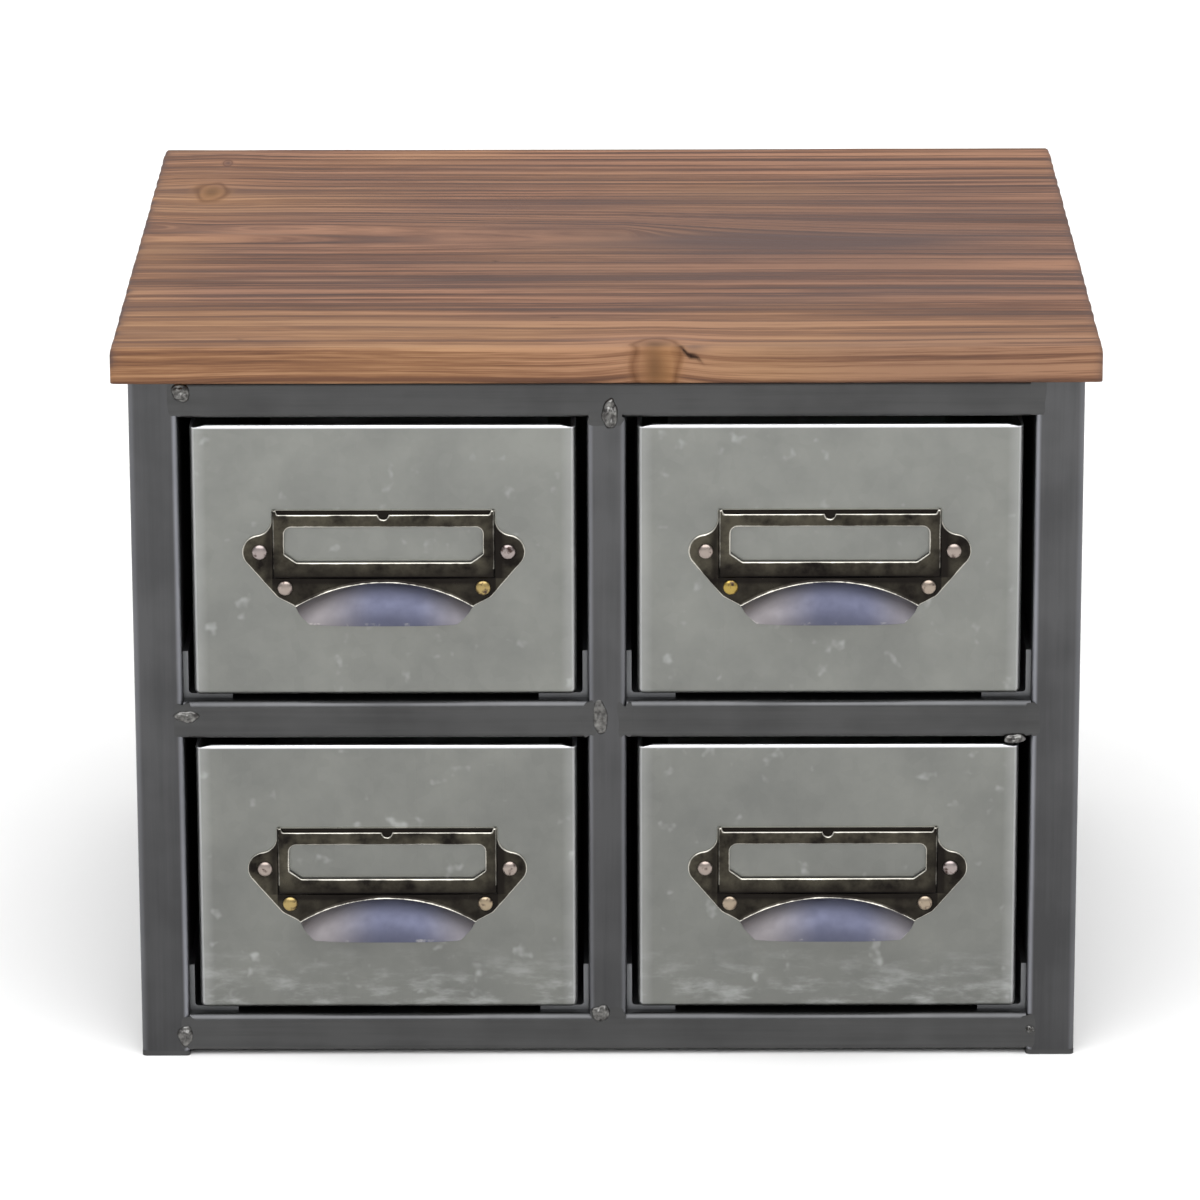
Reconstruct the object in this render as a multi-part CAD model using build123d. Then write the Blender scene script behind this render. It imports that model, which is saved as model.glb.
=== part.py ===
from build123d import *
import os
from math import atan, cos, degrees, pi, sqrt

# Table-top cabinet with two rows of two drawers. A welded square-tube frame carries sheet-steel
# sides and back, steel-angle runners and a one-piece wooden board; each drawer is folded from
# galvanised sheet and has a stamped card-holder pull with a drawn finger cup.
# Millimetres, +Z up, and the front faces -Y. The origin is the middle of the whole cabinet, with
# its pulls, on the plane that its feet stand on.

# Frame
frame_width = 387.0          # over the outer faces of the posts
frame_depth = 348.0          # over the front and back faces of the posts
frame_height = 290.0         # floor to the top of the posts, where the board lies
post_size = 20.0             # corner posts, square tube
rail_step = 4.0              # rails and centre post are smaller than the corner posts by this
tube_wall = 1.5
tube_corner = 2.0            # outer corner radius of both tubes
cap_thickness = 2.0          # plate that closes the foot of each corner post
panel_thickness = 1.2        # side and back sheets
back_inset = 1.0             # the back sheet's edge inside the frame's outline

# Wooden top
board_thickness = 15.0
board_side_overhang = 6.5
board_end_overhang = 6.0     # front and back
board_corner = 2.5           # corners of the board, seen from above
board_edge = 2.0             # rounding of the upper edge
board_under_edge = 0.8       # bevel of the lower edge

# Screws that hold the board from below, through the side top rails
screw_radius = 2.0
screw_clearance = 0.3        # in the rail's holes
screw_bite = 11.0            # depth in the wood
pilot_clearance = 0.1        # in the board, round the screw
pilot_extra = 0.5            # depth of the pilot hole past the screw's end
screw_head_radius = 4.0
screw_head_height = 2.4
screw_from_end = 70.0        # from the front and back faces of the frame

# Runners
angle_leg = 20.0
angle_thickness = 2.0
angle_root = 1.5             # inner corner radius
runner_setback = 6.0         # from the front and back faces of the frame
running_gap = 0.3            # drawer bottom above its runners

# Drawers
drawer_recess = 2.0          # drawer front behind the face of the frame
drawer_side_gap = 2.5
drawer_top_gap = 3.2
drawer_stop_gap = 1.0        # drawer back in front of the back sheet
sheet = 1.0                  # galvanised sheet
fold_radius = 2.5            # outer radius of the folds at the bottom and the upright corners
fold_flat = 0.025            # the bottom fold is that much tighter than the upright corners
hem_drop = 8.0               # straight length of the hem's inner leaf
tab_width = 14.0             # tabs of the side walls inside the front and back walls

# Card-holder pull. Its own origin is midway between the ear rivets, on the drawer front.
pull_drop = 53.3             # ear rivets below the top of the drawer
plate = 0.9                  # stamped sheet
pocket = 1.3                 # depth of the card pocket behind the raised frame
holder_width = 91.0          # raised frame
holder_height = 28.8
holder_rise = 17.6           # upper edge above the ear rivets
frame_side = 5.0             # raised frame beside the window
frame_above = 6.8            # over the window
frame_below = 6.9            # under the window
window_corner = 3.0          # round upper corners
window_chamfer = 5.0         # cut lower corners
notch_radius = 3.2           # thumb notch in the middle of the upper edge
ear_out = 5.0                # ear rivets outside the ends of the raised frame
ear_radius = 7.0
ear_blend = 7.0              # hollow curve between the ear and the raised frame
foot_ear_in = 5.2            # lower rivets inside the ends of the raised frame
foot_ear_drop = 4.0          # and below its lower edge
foot_ear_radius = 5.0
cup_arch = 69.0              # radius of the cup's arch on the plate
cup_drop = 1.5               # crown of the arch below the raised frame
cup_reach = 14.6             # the cup's height, and how far it stands out from the drawer
cup_bands = 5                # flat bands that make up the round of the cup
cup_end_in = 9.2             # where the cup's sloping ends meet the plate, inside the frame's ends
lip_end_in = 6.3             # ends of the straight lip, further inside

# Rivets
rivet_radius = 1.6
rivet_clearance = 0.1
rivet_head_radius = 3.1
rivet_head_height = 1.4
rivet_tail_radius = 2.7
rivet_tail_height = 1.0
head_top = 0.55              # flat top of a rivet head, as a share of its radius
small_sides = 12             # sides of the small round bars and holes of the fasteners

# Derived sizes and places
rail_size = post_size - rail_step                # the side sheets lie in the step behind the rails
post_inner_x = frame_width / 2 - post_size
post_centre_x = frame_width / 2 - post_size / 2
side_rail_x = frame_width / 2 - rail_size / 2
board_length = frame_width + 2 * board_side_overhang
board_depth = frame_depth + 2 * board_end_overhang

pull_proud = cup_reach - drawer_recess           # the cup in front of the frame
overall_depth = pull_proud + frame_depth + board_end_overhang
frame_front = pull_proud - overall_depth / 2
frame_back = frame_front + frame_depth
front_rail_y = frame_front + rail_size / 2
rear_rail_y = frame_back - rail_size / 2
rail_length_y = frame_depth - 2 * post_size

bottom_rail_z = cap_thickness
top_rail_z = frame_height - rail_size
bay_height = (top_rail_z - bottom_rail_z - 2 * rail_size) / 2
middle_rail_z = bottom_rail_z + rail_size + bay_height
bay_width = post_inner_x - rail_size / 2

hem_radius = sheet                               # the sheet turned flat on itself
drawer_width = bay_width - 2 * angle_thickness - 2 * drawer_side_gap
drawer_height = bay_height - angle_thickness - running_gap - drawer_top_gap
drawer_length = frame_depth - drawer_recess - drawer_stop_gap
wall_height = drawer_height - hem_radius         # where the hem's fold starts
drawer_x = rail_size / 2 + bay_width / 2
drawer_front = frame_front + drawer_recess
pull_z = drawer_height - pull_drop
runner_levels = (("lower", bottom_rail_z + rail_size), ("upper", middle_rail_z + rail_size))

holder_low = holder_rise - holder_height
ear_x = holder_width / 2 + ear_out
foot_ear_x = holder_width / 2 - foot_ear_in
foot_ear_z = holder_low - foot_ear_drop
cup_lip_z = holder_low - cup_drop - cup_reach    # level of the finger lip
cup_end_x = holder_width / 2 - cup_end_in
lip_half_width = cup_end_x - lip_end_in
arch_centre = cup_reach - cup_arch               # level of the arch's centre, from the lip
cup_end_rise = arch_centre + sqrt(cup_arch ** 2 - cup_end_x ** 2)
rivet_hole = rivet_radius + rivet_clearance
rivet_places = [(ear_x, 0), (-ear_x, 0), (foot_ear_x, foot_ear_z), (-foot_ear_x, foot_ear_z)]

nodes = {}


def tube(size, length):
    """Square tube with round outer corners, standing on the XY plane around Z."""
    bore = size - 2 * tube_wall
    return extrude(RectangleRounded(size, size, tube_corner) - Rectangle(bore, bore), length)


def tube_x(size, length):
    """The same tube along X, around the origin."""
    return Rot(0, 90, 0) * Pos(0, 0, -length / 2) * tube(size, length)


def tube_y(size, length):
    """The same tube along Y, around the origin."""
    return Rot(90, 0, 0) * Pos(0, 0, -length / 2) * tube(size, length)


def bar(radius, low, high):
    """Small round bar along Z between two levels."""
    return Pos(0, 0, low) * extrude(RegularPolygon(radius, small_sides), high - low)


def stud(radius, height):
    """Low round head on the XY plane, narrower at its top."""
    slope = atan(radius * (1 - head_top) * cos(pi / small_sides) / height)
    return extrude(RegularPolygon(radius, small_sides), height, taper=degrees(slope))


# Frame --------------------------------------------------------------------------------------

def corner_posts():
    for end, y in (("front", frame_front + post_size / 2), ("rear", frame_back - post_size / 2)):
        for side, x in (("left", -post_centre_x), ("right", post_centre_x)):
            post = tube(post_size, frame_height - cap_thickness)
            nodes[f"{end}_post_{side}"] = Pos(x, y, cap_thickness) * post


def foot_caps():
    """One plate under each corner post."""
    cap = extrude(RectangleRounded(post_size, post_size, tube_corner), cap_thickness)
    ys = (frame_front + post_size / 2, frame_back - post_size / 2)
    return Compound([Pos(x, y, 0) * cap for x in (-post_centre_x, post_centre_x) for y in ys])


def cross_rails():
    """Rails across the front and the back, and the post between the front drawers."""
    full = 2 * post_inner_x
    half = rail_size / 2
    for end, y in (("front", front_rail_y), ("rear", rear_rail_y)):
        nodes[f"{end}_top_rail"] = Pos(0, y, top_rail_z + half) * tube_x(rail_size, full)
        nodes[f"{end}_bottom_rail"] = Pos(0, y, bottom_rail_z + half) * tube_x(rail_size, full)
    nodes["rear_middle_rail"] = Pos(0, rear_rail_y, middle_rail_z + half) * tube_x(rail_size, full)
    for side, x in (("left", -drawer_x), ("right", drawer_x)):
        rail = Pos(x, front_rail_y, middle_rail_z + half) * tube_x(rail_size, bay_width)
        nodes[f"front_middle_rail_{side}"] = rail
    post_foot = bottom_rail_z + rail_size
    post = tube(rail_size, top_rail_z - post_foot)
    nodes["front_centre_post"] = Pos(0, front_rail_y, post_foot) * post


def screw_ys():
    return (frame_front + screw_from_end, frame_back - screw_from_end)


def side_rails():
    y = (frame_front + frame_back) / 2
    half = rail_size / 2
    hole = bar(screw_radius + screw_clearance, top_rail_z - tube_wall, frame_height + tube_wall)
    for side, x in (("left", -side_rail_x), ("right", side_rail_x)):
        top = Pos(x, y, top_rail_z + half) * tube_y(rail_size, rail_length_y)
        for hole_y in screw_ys():
            top -= Pos(x, hole_y, 0) * hole
        nodes[f"side_top_rail_{side}"] = top
        bottom = Pos(x, y, bottom_rail_z + half) * tube_y(rail_size, rail_length_y)
        nodes[f"side_bottom_rail_{side}"] = bottom


def panels():
    """Sheets inside the side rails, between the posts, and one over the back of the frame."""
    height = frame_height - bottom_rail_z
    z = bottom_rail_z + height / 2
    x = frame_width / 2 - rail_size - panel_thickness / 2
    y = (frame_front + frame_back) / 2
    side = Box(panel_thickness, rail_length_y, height)
    nodes["side_panel_left"] = Pos(-x, y, z) * side
    nodes["side_panel_right"] = Pos(x, y, z) * side
    back = Box(frame_width - 2 * back_inset, panel_thickness, height - 2 * back_inset)
    nodes["back_panel"] = Pos(0, frame_back + panel_thickness / 2, z) * back


# Top ----------------------------------------------------------------------------------------

def top_board():
    board = extrude(RectangleRounded(board_length, board_depth, board_corner), board_thickness)
    board = fillet(board.faces().sort_by(Axis.Z)[-1].edges(), board_edge)
    board = chamfer(board.faces().sort_by(Axis.Z)[0].edges(), board_under_edge)
    board = Pos(0, (frame_front + frame_back) / 2, frame_height) * board
    pilot_end = frame_height + screw_bite + pilot_extra
    pilot = bar(screw_radius + pilot_clearance, frame_height, pilot_end)
    for x in (-side_rail_x, side_rail_x):
        for y in screw_ys():
            board -= Pos(x, y, 0) * pilot
    return board


def board_screws():
    """Pan-head screws, point upwards, with their heads under the side top rails."""
    head = Pos(0, 0, top_rail_z) * Rot(180, 0, 0) * stud(screw_head_radius, screw_head_height)
    screw = head + bar(screw_radius, top_rail_z, frame_height + screw_bite)
    xs = (-side_rail_x, side_rail_x)
    return Compound([Pos(x, y, 0) * screw for x in xs for y in screw_ys()])


# Runners ------------------------------------------------------------------------------------

def angle_runner():
    """Steel angle along Y with its corner on the origin, its upright leg along Z and its
    other leg along +X, which carries the drawer."""
    legs = Rectangle(angle_leg, angle_thickness, align=(Align.MIN, Align.MIN))
    legs += Rectangle(angle_thickness, angle_leg, align=(Align.MIN, Align.MIN))
    root = legs.vertices().sort_by_distance((angle_thickness, angle_thickness, 0))[0]
    legs = fillet(root, angle_root)
    length = frame_depth - 2 * runner_setback
    return Pos(0, length, 0) * Rot(90, 0, 0) * extrude(legs, length)


def runners():
    """Two angles under each drawer: one on the corner posts, one beside the centre post."""
    right_hand = angle_runner()
    left_hand = mirror(right_hand, Plane.YZ)
    y = frame_front + runner_setback
    for level, z in runner_levels:
        nodes[f"runner_{level}_left_outer"] = Pos(-post_inner_x, y, z) * right_hand
        nodes[f"runner_{level}_left_inner"] = Pos(-rail_size / 2, y, z) * left_hand
        nodes[f"runner_{level}_right_inner"] = Pos(rail_size / 2, y, z) * right_hand
        nodes[f"runner_{level}_right_outer"] = Pos(post_inner_x, y, z) * left_hand


# Drawers ------------------------------------------------------------------------------------

def hem(length):
    """Flat hem along X. The wall's outer face is on Y = 0 and its inside is towards +Y. The
    sheet turns over at the top and comes down again against the inside of the wall."""
    fold = Pos(hem_radius, wall_height) * Circle(hem_radius)
    leaf = Pos(sheet, wall_height) * Rectangle(sheet, hem_drop, align=(Align.MIN, Align.MAX))
    wall = Pos(0, wall_height) * Rectangle(sheet, hem_drop, align=(Align.MIN, Align.MAX))
    return Pos(-length / 2, 0, 0) * extrude(Plane.YZ * (fold + leaf + wall), length)


def drawer_tray():
    """One folded sheet: floor and four walls with hemmed edges, and the tabs of the side walls
    lying inside the front and back walls. Its front face is on Y = 0, centred on X."""
    tray = extrude(RectangleRounded(drawer_width, drawer_length, fold_radius), wall_height)
    tray = fillet(tray.faces().sort_by(Axis.Z)[0].edges(), fold_radius - fold_flat)
    inside = extrude(Rectangle(drawer_width - 2 * sheet, drawer_length - 2 * sheet), wall_height)
    inside = fillet(inside.faces().sort_by(Axis.Z)[0].edges(), fold_radius - sheet)
    tray = Pos(0, drawer_length / 2, 0) * (tray - Pos(0, 0, sheet) * inside)

    across = hem(drawer_width - 2 * fold_radius)
    along = hem(drawer_length - 2 * fold_radius)
    tray += across
    tray += Pos(0, drawer_length, 0) * Rot(0, 0, 180) * across
    tray += Pos(-drawer_width / 2, drawer_length / 2, 0) * Rot(0, 0, -90) * along
    tray += Pos(drawer_width / 2, drawer_length / 2, 0) * Rot(0, 0, 90) * along

    tab_height = wall_height - hem_drop - 2 * fold_radius
    tab_x = drawer_width / 2 - sheet / 2 - tab_width / 2
    tab_y = sheet + sheet / 2                        # middle of the tab, against the wall
    for y in (tab_y, drawer_length - tab_y):
        for x in (-tab_x, tab_x):
            tray += Pos(x, y, fold_radius + tab_height / 2) * Box(tab_width, sheet, tab_height)

    hole = Rot(90, 0, 0) * bar(rivet_hole, -2 * sheet, sheet)
    for x, z in rivet_places:
        tray -= Pos(x, 0, pull_z + z) * hole
    return tray


def front_slab(shape, near, far):
    """A drawing in X and Z made solid between two distances in front of the drawer."""
    return Pos(0, -near, 0) * extrude(Plane.XZ * shape, far - near)


def pull_outline():
    """Front view of the plate: the raised frame, an ear at each end joined to it by hollow
    curves, and below them the round corners that hold the lower rivets and meet the cup."""
    top = Pos(0, holder_rise) * Rectangle(holder_width, holder_rise + ear_radius,
                                          align=(Align.CENTER, Align.MAX))
    ears = Pos(ear_x, 0) * Circle(ear_radius) + Pos(-ear_x, 0) * Circle(ear_radius)
    shape = top + ears
    ear_cut = sqrt(ear_radius ** 2 - ear_out ** 2)   # height at which an ear leaves the frame
    joints = [shape.vertices().sort_by_distance((x, ear_cut, 0))[0]
              for x in (-holder_width / 2, holder_width / 2)]
    shape = fillet(joints, ear_blend)

    cup_end_z = cup_lip_z + cup_end_rise
    for side in (-1, 1):
        ear = (Pos(side * ear_x, 0) * Circle(ear_radius)).edges()
        foot_ear = (Pos(side * foot_ear_x, foot_ear_z) * Circle(foot_ear_radius)).edges()
        shape += make_hull(ear + foot_ear + [Line((side * cup_end_x, cup_end_z),
                                                  (side * cup_end_x, 0)).edge()])
    middle = Pos(0, cup_end_z - plate) * Rectangle(2 * foot_ear_x, -cup_end_z,
                                                   align=(Align.CENTER, Align.MIN))
    return shape + (middle - cut_ends())


def cut_ends():
    """Front view of what the sloping ends of the cup leave out, at both sides of the lip."""
    outside = 2 * cup_arch
    rise = cup_end_rise * (outside - lip_half_width) / (cup_end_x - lip_half_width)
    ends = [Polygon((side * lip_half_width, 0), (side * outside, rise), (side * outside, -plate),
                    (side * lip_half_width, -plate), align=None) for side in (-1, 1)]
    return Pos(0, cup_lip_z) * (ends[0] + ends[1])


def cup():
    """A quarter-round rim carried along the arch, cut off level at the lip and on a slope at
    both ends."""
    sides = 4 * cup_bands
    rim = RegularPolygon(cup_reach, sides) - RegularPolygon(cup_reach - plate, sides)
    rim &= Rectangle(cup_reach, cup_reach, align=(Align.MAX, Align.MIN))
    axis = Axis((0, 0, arch_centre), (0, 1, 0))
    shell = revolve((Plane.YZ * rim).rotate(axis, -45), axis, 90)
    above_lip = Box(2 * cup_arch, 4 * cup_reach, cup_arch,
                    align=(Align.CENTER, Align.CENTER, Align.MIN))
    return Pos(0, 0, cup_lip_z) * (shell & above_lip) - front_slab(cut_ends(), -plate, 2 * cup_reach)


def card_window():
    """Opening of the raised frame, with cut lower corners and round upper ones."""
    width = holder_width - 2 * frame_side
    height = holder_height - frame_above - frame_below
    window = Pos(0, holder_low + frame_below) * Rectangle(width, height,
                                                          align=(Align.CENTER, Align.MIN))
    window = chamfer(window.vertices().sort_by(Axis.Y)[:2], window_chamfer)
    return fillet(window.vertices().sort_by(Axis.Y)[-2:], window_corner)


def label_pull():
    """One stamping: the plate with its ears, the raised frame that makes the card pocket, open
    at the top, and the finger cup."""
    frame_area = Pos(0, holder_rise) * Rectangle(holder_width, holder_height,
                                                 align=(Align.CENTER, Align.MAX))
    pocket_area = Pos(0, holder_rise) * Rectangle(holder_width - 2 * plate, holder_height - plate,
                                                  align=(Align.CENTER, Align.MAX))
    notch = Pos(0, holder_rise) * Circle(notch_radius)
    arch = Pos(0, cup_lip_z + arch_centre) * Circle(cup_arch - plate / 2)

    base = front_slab(pull_outline() - frame_area - arch, 0, plate)
    walls = front_slab(frame_area - pocket_area, 0, pocket + plate)
    face = front_slab(pocket_area - card_window() - notch, pocket, pocket + plate)
    pull = base + walls + face + cup()
    hole = Rot(90, 0, 0) * bar(rivet_hole, -plate, 2 * plate)
    for x, z in rivet_places:
        pull -= Pos(x, 0, z) * hole
    return pull


def rivet_set():
    """Round-head rivets through the plate and the drawer front, closed over inside."""
    head = Pos(0, 0, plate) * stud(rivet_head_radius, rivet_head_height)
    tail = Pos(0, 0, -sheet) * Rot(180, 0, 0) * stud(rivet_tail_radius, rivet_tail_height)
    rivet = Rot(90, 0, 0) * (head + tail + bar(rivet_radius, -sheet, plate))
    return Compound([Pos(x, 0, z) * rivet for x, z in rivet_places])


def drawers():
    tray, pull, rivets = drawer_tray(), label_pull(), rivet_set()
    lift = angle_thickness + running_gap
    for level, z in runner_levels:
        for side, x in (("left", -drawer_x), ("right", drawer_x)):
            place = Pos(x, drawer_front, z + lift)
            nodes[f"drawer_{level}_{side}"] = place * tray
            nodes[f"pull_{level}_{side}"] = place * Pos(0, 0, pull_z) * pull
            nodes[f"rivets_{level}_{side}"] = place * Pos(0, 0, pull_z) * rivets


corner_posts()
nodes["post_foot_caps"] = foot_caps()
cross_rails()
side_rails()
panels()
nodes["top_board"] = top_board()
nodes["board_screws"] = board_screws()
runners()
drawers()

os.makedirs("parts", exist_ok=True)
for name, shape in nodes.items():
    export_step(shape, f"parts/{name}.step")
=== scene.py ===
"""Table-top drawer cabinet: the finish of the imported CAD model.

A welded frame of dark satin steel tube carries a brushed softwood board, and four drawers
folded from galvanised sheet have stamped, bronzed card-holder pulls with a drawn finger cup.
Shapes are worked out in millimetres and put into the meshes in metres.
"""

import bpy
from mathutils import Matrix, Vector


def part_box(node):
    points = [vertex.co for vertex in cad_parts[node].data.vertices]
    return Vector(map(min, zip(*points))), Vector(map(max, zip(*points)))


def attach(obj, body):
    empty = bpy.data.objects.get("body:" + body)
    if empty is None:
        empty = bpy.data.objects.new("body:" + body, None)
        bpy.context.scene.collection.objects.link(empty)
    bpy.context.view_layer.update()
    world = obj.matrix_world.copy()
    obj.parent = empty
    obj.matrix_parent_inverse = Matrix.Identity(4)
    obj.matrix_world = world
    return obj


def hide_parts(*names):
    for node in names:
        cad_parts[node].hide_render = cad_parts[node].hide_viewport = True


bl_info = {
    "name": "Drawer cabinet finish",
    "version": (1, 0, 0),
    "blender": (4, 5, 0),
    "location": "3D View > Sidebar > Cabinet",
    "description": "Adds the board, tubes, welds, drawers, pulls, fasteners and studio",
    "category": "Add Mesh",
}

from math import atan2, cos, hypot, pi, radians, sin, sqrt

import bpy
import numpy as np
from bpy.props import FloatProperty, FloatVectorProperty, PointerProperty
from mathutils import Matrix, Vector

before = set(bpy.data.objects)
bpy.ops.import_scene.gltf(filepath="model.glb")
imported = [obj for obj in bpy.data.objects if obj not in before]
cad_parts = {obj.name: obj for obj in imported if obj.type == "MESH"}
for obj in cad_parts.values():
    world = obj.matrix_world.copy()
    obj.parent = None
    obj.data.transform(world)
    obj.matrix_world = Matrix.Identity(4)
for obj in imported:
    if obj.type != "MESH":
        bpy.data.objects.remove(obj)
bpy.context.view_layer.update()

MM = 0.001
LEVELS, SIDES = ("upper", "lower"), ("left", "right")


def box_mm(node):
    """Lowest and highest corner of a CAD node at rest, in millimetres."""
    low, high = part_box(node)
    return np.array(low) / MM, np.array(high) / MM


# Settings -----------------------------------------------------------------------------------

def length(name, description, millimetres):
    """A length setting, kept in metres."""
    return FloatProperty(name=name, description=description, default=millimetres * MM,
                         unit="LENGTH", subtype="DISTANCE", precision=5)


def share(name, description, value, top=1.0):
    """A share or strength setting, from nought up to its top."""
    return FloatProperty(name=name, description=description, default=value, min=0.0, max=top)


def linear(code):
    """Linear colour of an sRGB hex code."""
    srgb = np.array([int(code[i:i + 2], 16) for i in (1, 3, 5)]) / 255
    curve = np.where(srgb <= 0.04045, srgb / 12.92, ((srgb + 0.055) / 1.055) ** 2.4)
    return (*curve.tolist(), 1.0)


def colour(name, description, code):
    """A colour setting, given as sRGB hex."""
    return FloatVectorProperty(name=name, description=description, default=linear(code),
                               size=4, subtype="COLOR", min=0.0, max=1.0)


class FrameSettings(bpy.types.PropertyGroup):
    corner: length("Tube corner", "Outer corner radius of the square tubes", 2.8)
    wall: length("Tube wall", "Wall thickness of the tubes", 1.5)
    steel: colour("Steel", "Satin steel of the upright tubes", "#5b5b5c")
    # The level tubes' darker steel is painted shade
    shaded_level_steel: colour("Level steel", "Darker steel of the level tubes", "#525252")
    # The brighter colour of the tubes' round edges is a painted highlight
    rubbed: colour("Rubbed edge", "Brighter metal on the tubes' round edges", "#9c9da4")
    rough: share("Roughness", "Micro-roughness of the lacquered steel", 0.36)


class WeldSettings(bpy.types.PropertyGroup):
    crown: length("Bead crown", "Height of a raised bead over the tubes", 1.3)
    proud: length("Ground weld", "Height of a weld that was ground flush", 0.07)
    sink: length("Root", "Depth of a weld between the tubes", 1.9)
    bead: colour("Bead", "Bare weld metal", "#858481")
    soot: colour("Scale", "Dark scale in the hollows of a bead", "#413f3e")


class BoardSettings(bpy.types.PropertyGroup):
    edge: length("Edge", "Rounding of the upper edge", 2.0)
    under_edge: length("Under edge", "Bevel of the lower edge", 0.8)
    ring: length("Ring spacing", "Width of one growth ring", 6.2)
    relief: length("Relief", "Depth of the brushed softer wood", 0.16)
    pale: colour("Pale wood", "Soft early wood", "#9c745c")
    mid: colour("Wood", "Middle tone", "#704e3d")
    dark: colour("Dark wood", "Late wood lines", "#4f382e")
    warm_pale: colour("Warm pale wood", "Early wood near the front edge", "#a5805f")
    warm_mid: colour("Warm wood", "Middle tone near the front edge", "#886347")
    warm_dark: colour("Warm dark wood", "Late wood near the front edge", "#6a4a38")
    grey: colour("Grey tone", "Weathered purple brown of the middle", "#584743")
    knot: colour("Knot", "Resinous heart of a fresh knot", "#7d5938")
    old_knot: colour("Old knot", "Heart of a weathered knot", "#654a40")


class SheetSettings(bpy.types.PropertyGroup):
    sheet: length("Sheet", "Thickness of the drawers' sheet", 1.0)
    fold: length("Fold", "Outer radius of the folds", 2.5)
    hem: length("Hem", "Straight length of the hem's inner leaf", 8.0)
    tab: length("Tab", "Width of the tabs inside the front and back walls", 14.0)
    buckle: length("Buckle", "Depth to which the front panel is uneven", 0.14)
    zinc: colour("Zinc", "Dull zinc coat", "#8f908b")
    cloud: colour("Cloud", "Duller clouds in the zinc coat", "#858682")
    spot: colour("Spot", "White rust and water spots", "#c6c8c6")
    # The hem colour is a near-white painted highlight
    hem_highlight: colour("Hem", "Zinc rubbed bright along the hem", "#f0f1f3")
    panel: colour("Panel", "Sheet of the sides and the back", "#77787a")


class PullSettings(bpy.types.PropertyGroup):
    plate: length("Plate", "Thickness of the stamped sheet", 0.9)
    pocket: length("Pocket", "Depth of the card pocket", 1.3)
    drop: length("Drop", "Ear rivets below the top of the drawer", 53.3)
    holder_width: length("Holder width", "Width of the raised frame", 91.0)
    holder_height: length("Holder height", "Height of the raised frame", 28.8)
    holder_rise: length("Holder rise", "Raised frame's upper edge above the ear rivets", 17.6)
    frame_side: length("Frame side", "Raised frame beside the window", 5.0)
    frame_above: length("Frame above", "Raised frame over the window", 6.8)
    frame_below: length("Frame below", "Raised frame under the window", 6.9)
    ear_out: length("Ear", "Ear rivets outside the raised frame", 5.0)
    ear_radius: length("Ear radius", "Round end of an ear", 7.0)
    foot_ear_in: length("Lower rivets in", "Lower rivets inside the raised frame's ends", 5.2)
    foot_ear_drop: length("Lower rivets down", "Lower rivets below the raised frame", 4.0)
    foot_ear_radius: length("Lower corner", "Radius round a lower rivet", 5.0)
    arch: length("Arch", "Radius of the cup's arch", 69.0)
    cup_drop: length("Cup drop", "Crown of the arch below the raised frame", 1.5)
    reach: length("Reach", "How far the cup stands out", 14.6)
    end_in: length("Cup end", "Cup's ends inside the raised frame's ends", 9.2)
    lip_in: length("Lip end", "Lip's ends inside the cup's ends", 6.3)
    step: length("Pocket step", "Front of the card pocket below the top of its back", 1.7)
    bronze: colour("Bronze", "Dark antique bronze", "#4e4a40")
    # Patina is the bronze's own colour in blotches, and also serves as painted shade on the pull
    patina: colour("Patina", "Blackened hollows of the bronze", "#1f1c1a")
    # The worn colour stands for rubbed metal and also paints the glints along the edges
    worn: colour("Worn edge", "Bright metal on rubbed edges", "#d3cfc4")
    # The cup's blue grey colour is a painted reflection
    cup: colour("Cup", "Blue grey sheen of the cup", "#606274")
    # The cup's paler ends are a painted highlight
    cup_end_highlight: colour("Cup end", "Paler rubbed end of the cup", "#858080")


class FastenerSettings(bpy.types.PropertyGroup):
    head: length("Rivet head", "Radius of a rivet's head", 3.1)
    head_height: length("Rivet crown", "Height of a rivet's head", 1.4)
    shank: length("Rivet shank", "Radius of a rivet's shank", 1.6)
    tail: length("Rivet tail", "Radius of a closed tail", 2.7)
    tail_height: length("Tail height", "Height of a closed tail", 1.0)
    steel: colour("Rivet steel", "Worn plated rivets", "#9f9491")
    brass: colour("Rivet brass", "Brass showing on some lower rivets", "#ac9450")
    zinc: colour("Screw zinc", "Bright zinc plate of the board screws", "#b9bcc2")


class StageSettings(bpy.types.PropertyGroup):
    lens: FloatProperty(name="Lens", description="Focal length on a 36 mm sensor", default=206.0,
                        unit="CAMERA")
    floor: colour("Floor", "Matt paper sweep", "#f4f3f1")
    sky: share("Sky", "Radiance of the white surround", 0.55, 10.0)
    window: share("Window", "Radiance of the soft window in front and above", 3.6, 20.0)
    back: share("Back light", "Power of the softbox behind, in watts", 6.0, 1000.0)


# Meshes -------------------------------------------------------------------------------------

def grid_quads(rows, columns, close_rows=False):
    """Quads between the points of a grid numbered row by row, closed round its columns."""
    i = np.arange(rows if close_rows else rows - 1)[:, None]
    j = np.arange(columns)[None, :]
    below, beside = (i + 1) % rows, (j + 1) % columns
    corners = (i * columns + j, i * columns + beside, below * columns + beside, below * columns + j)
    return np.stack(corners, -1).reshape(-1, 4)


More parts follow.
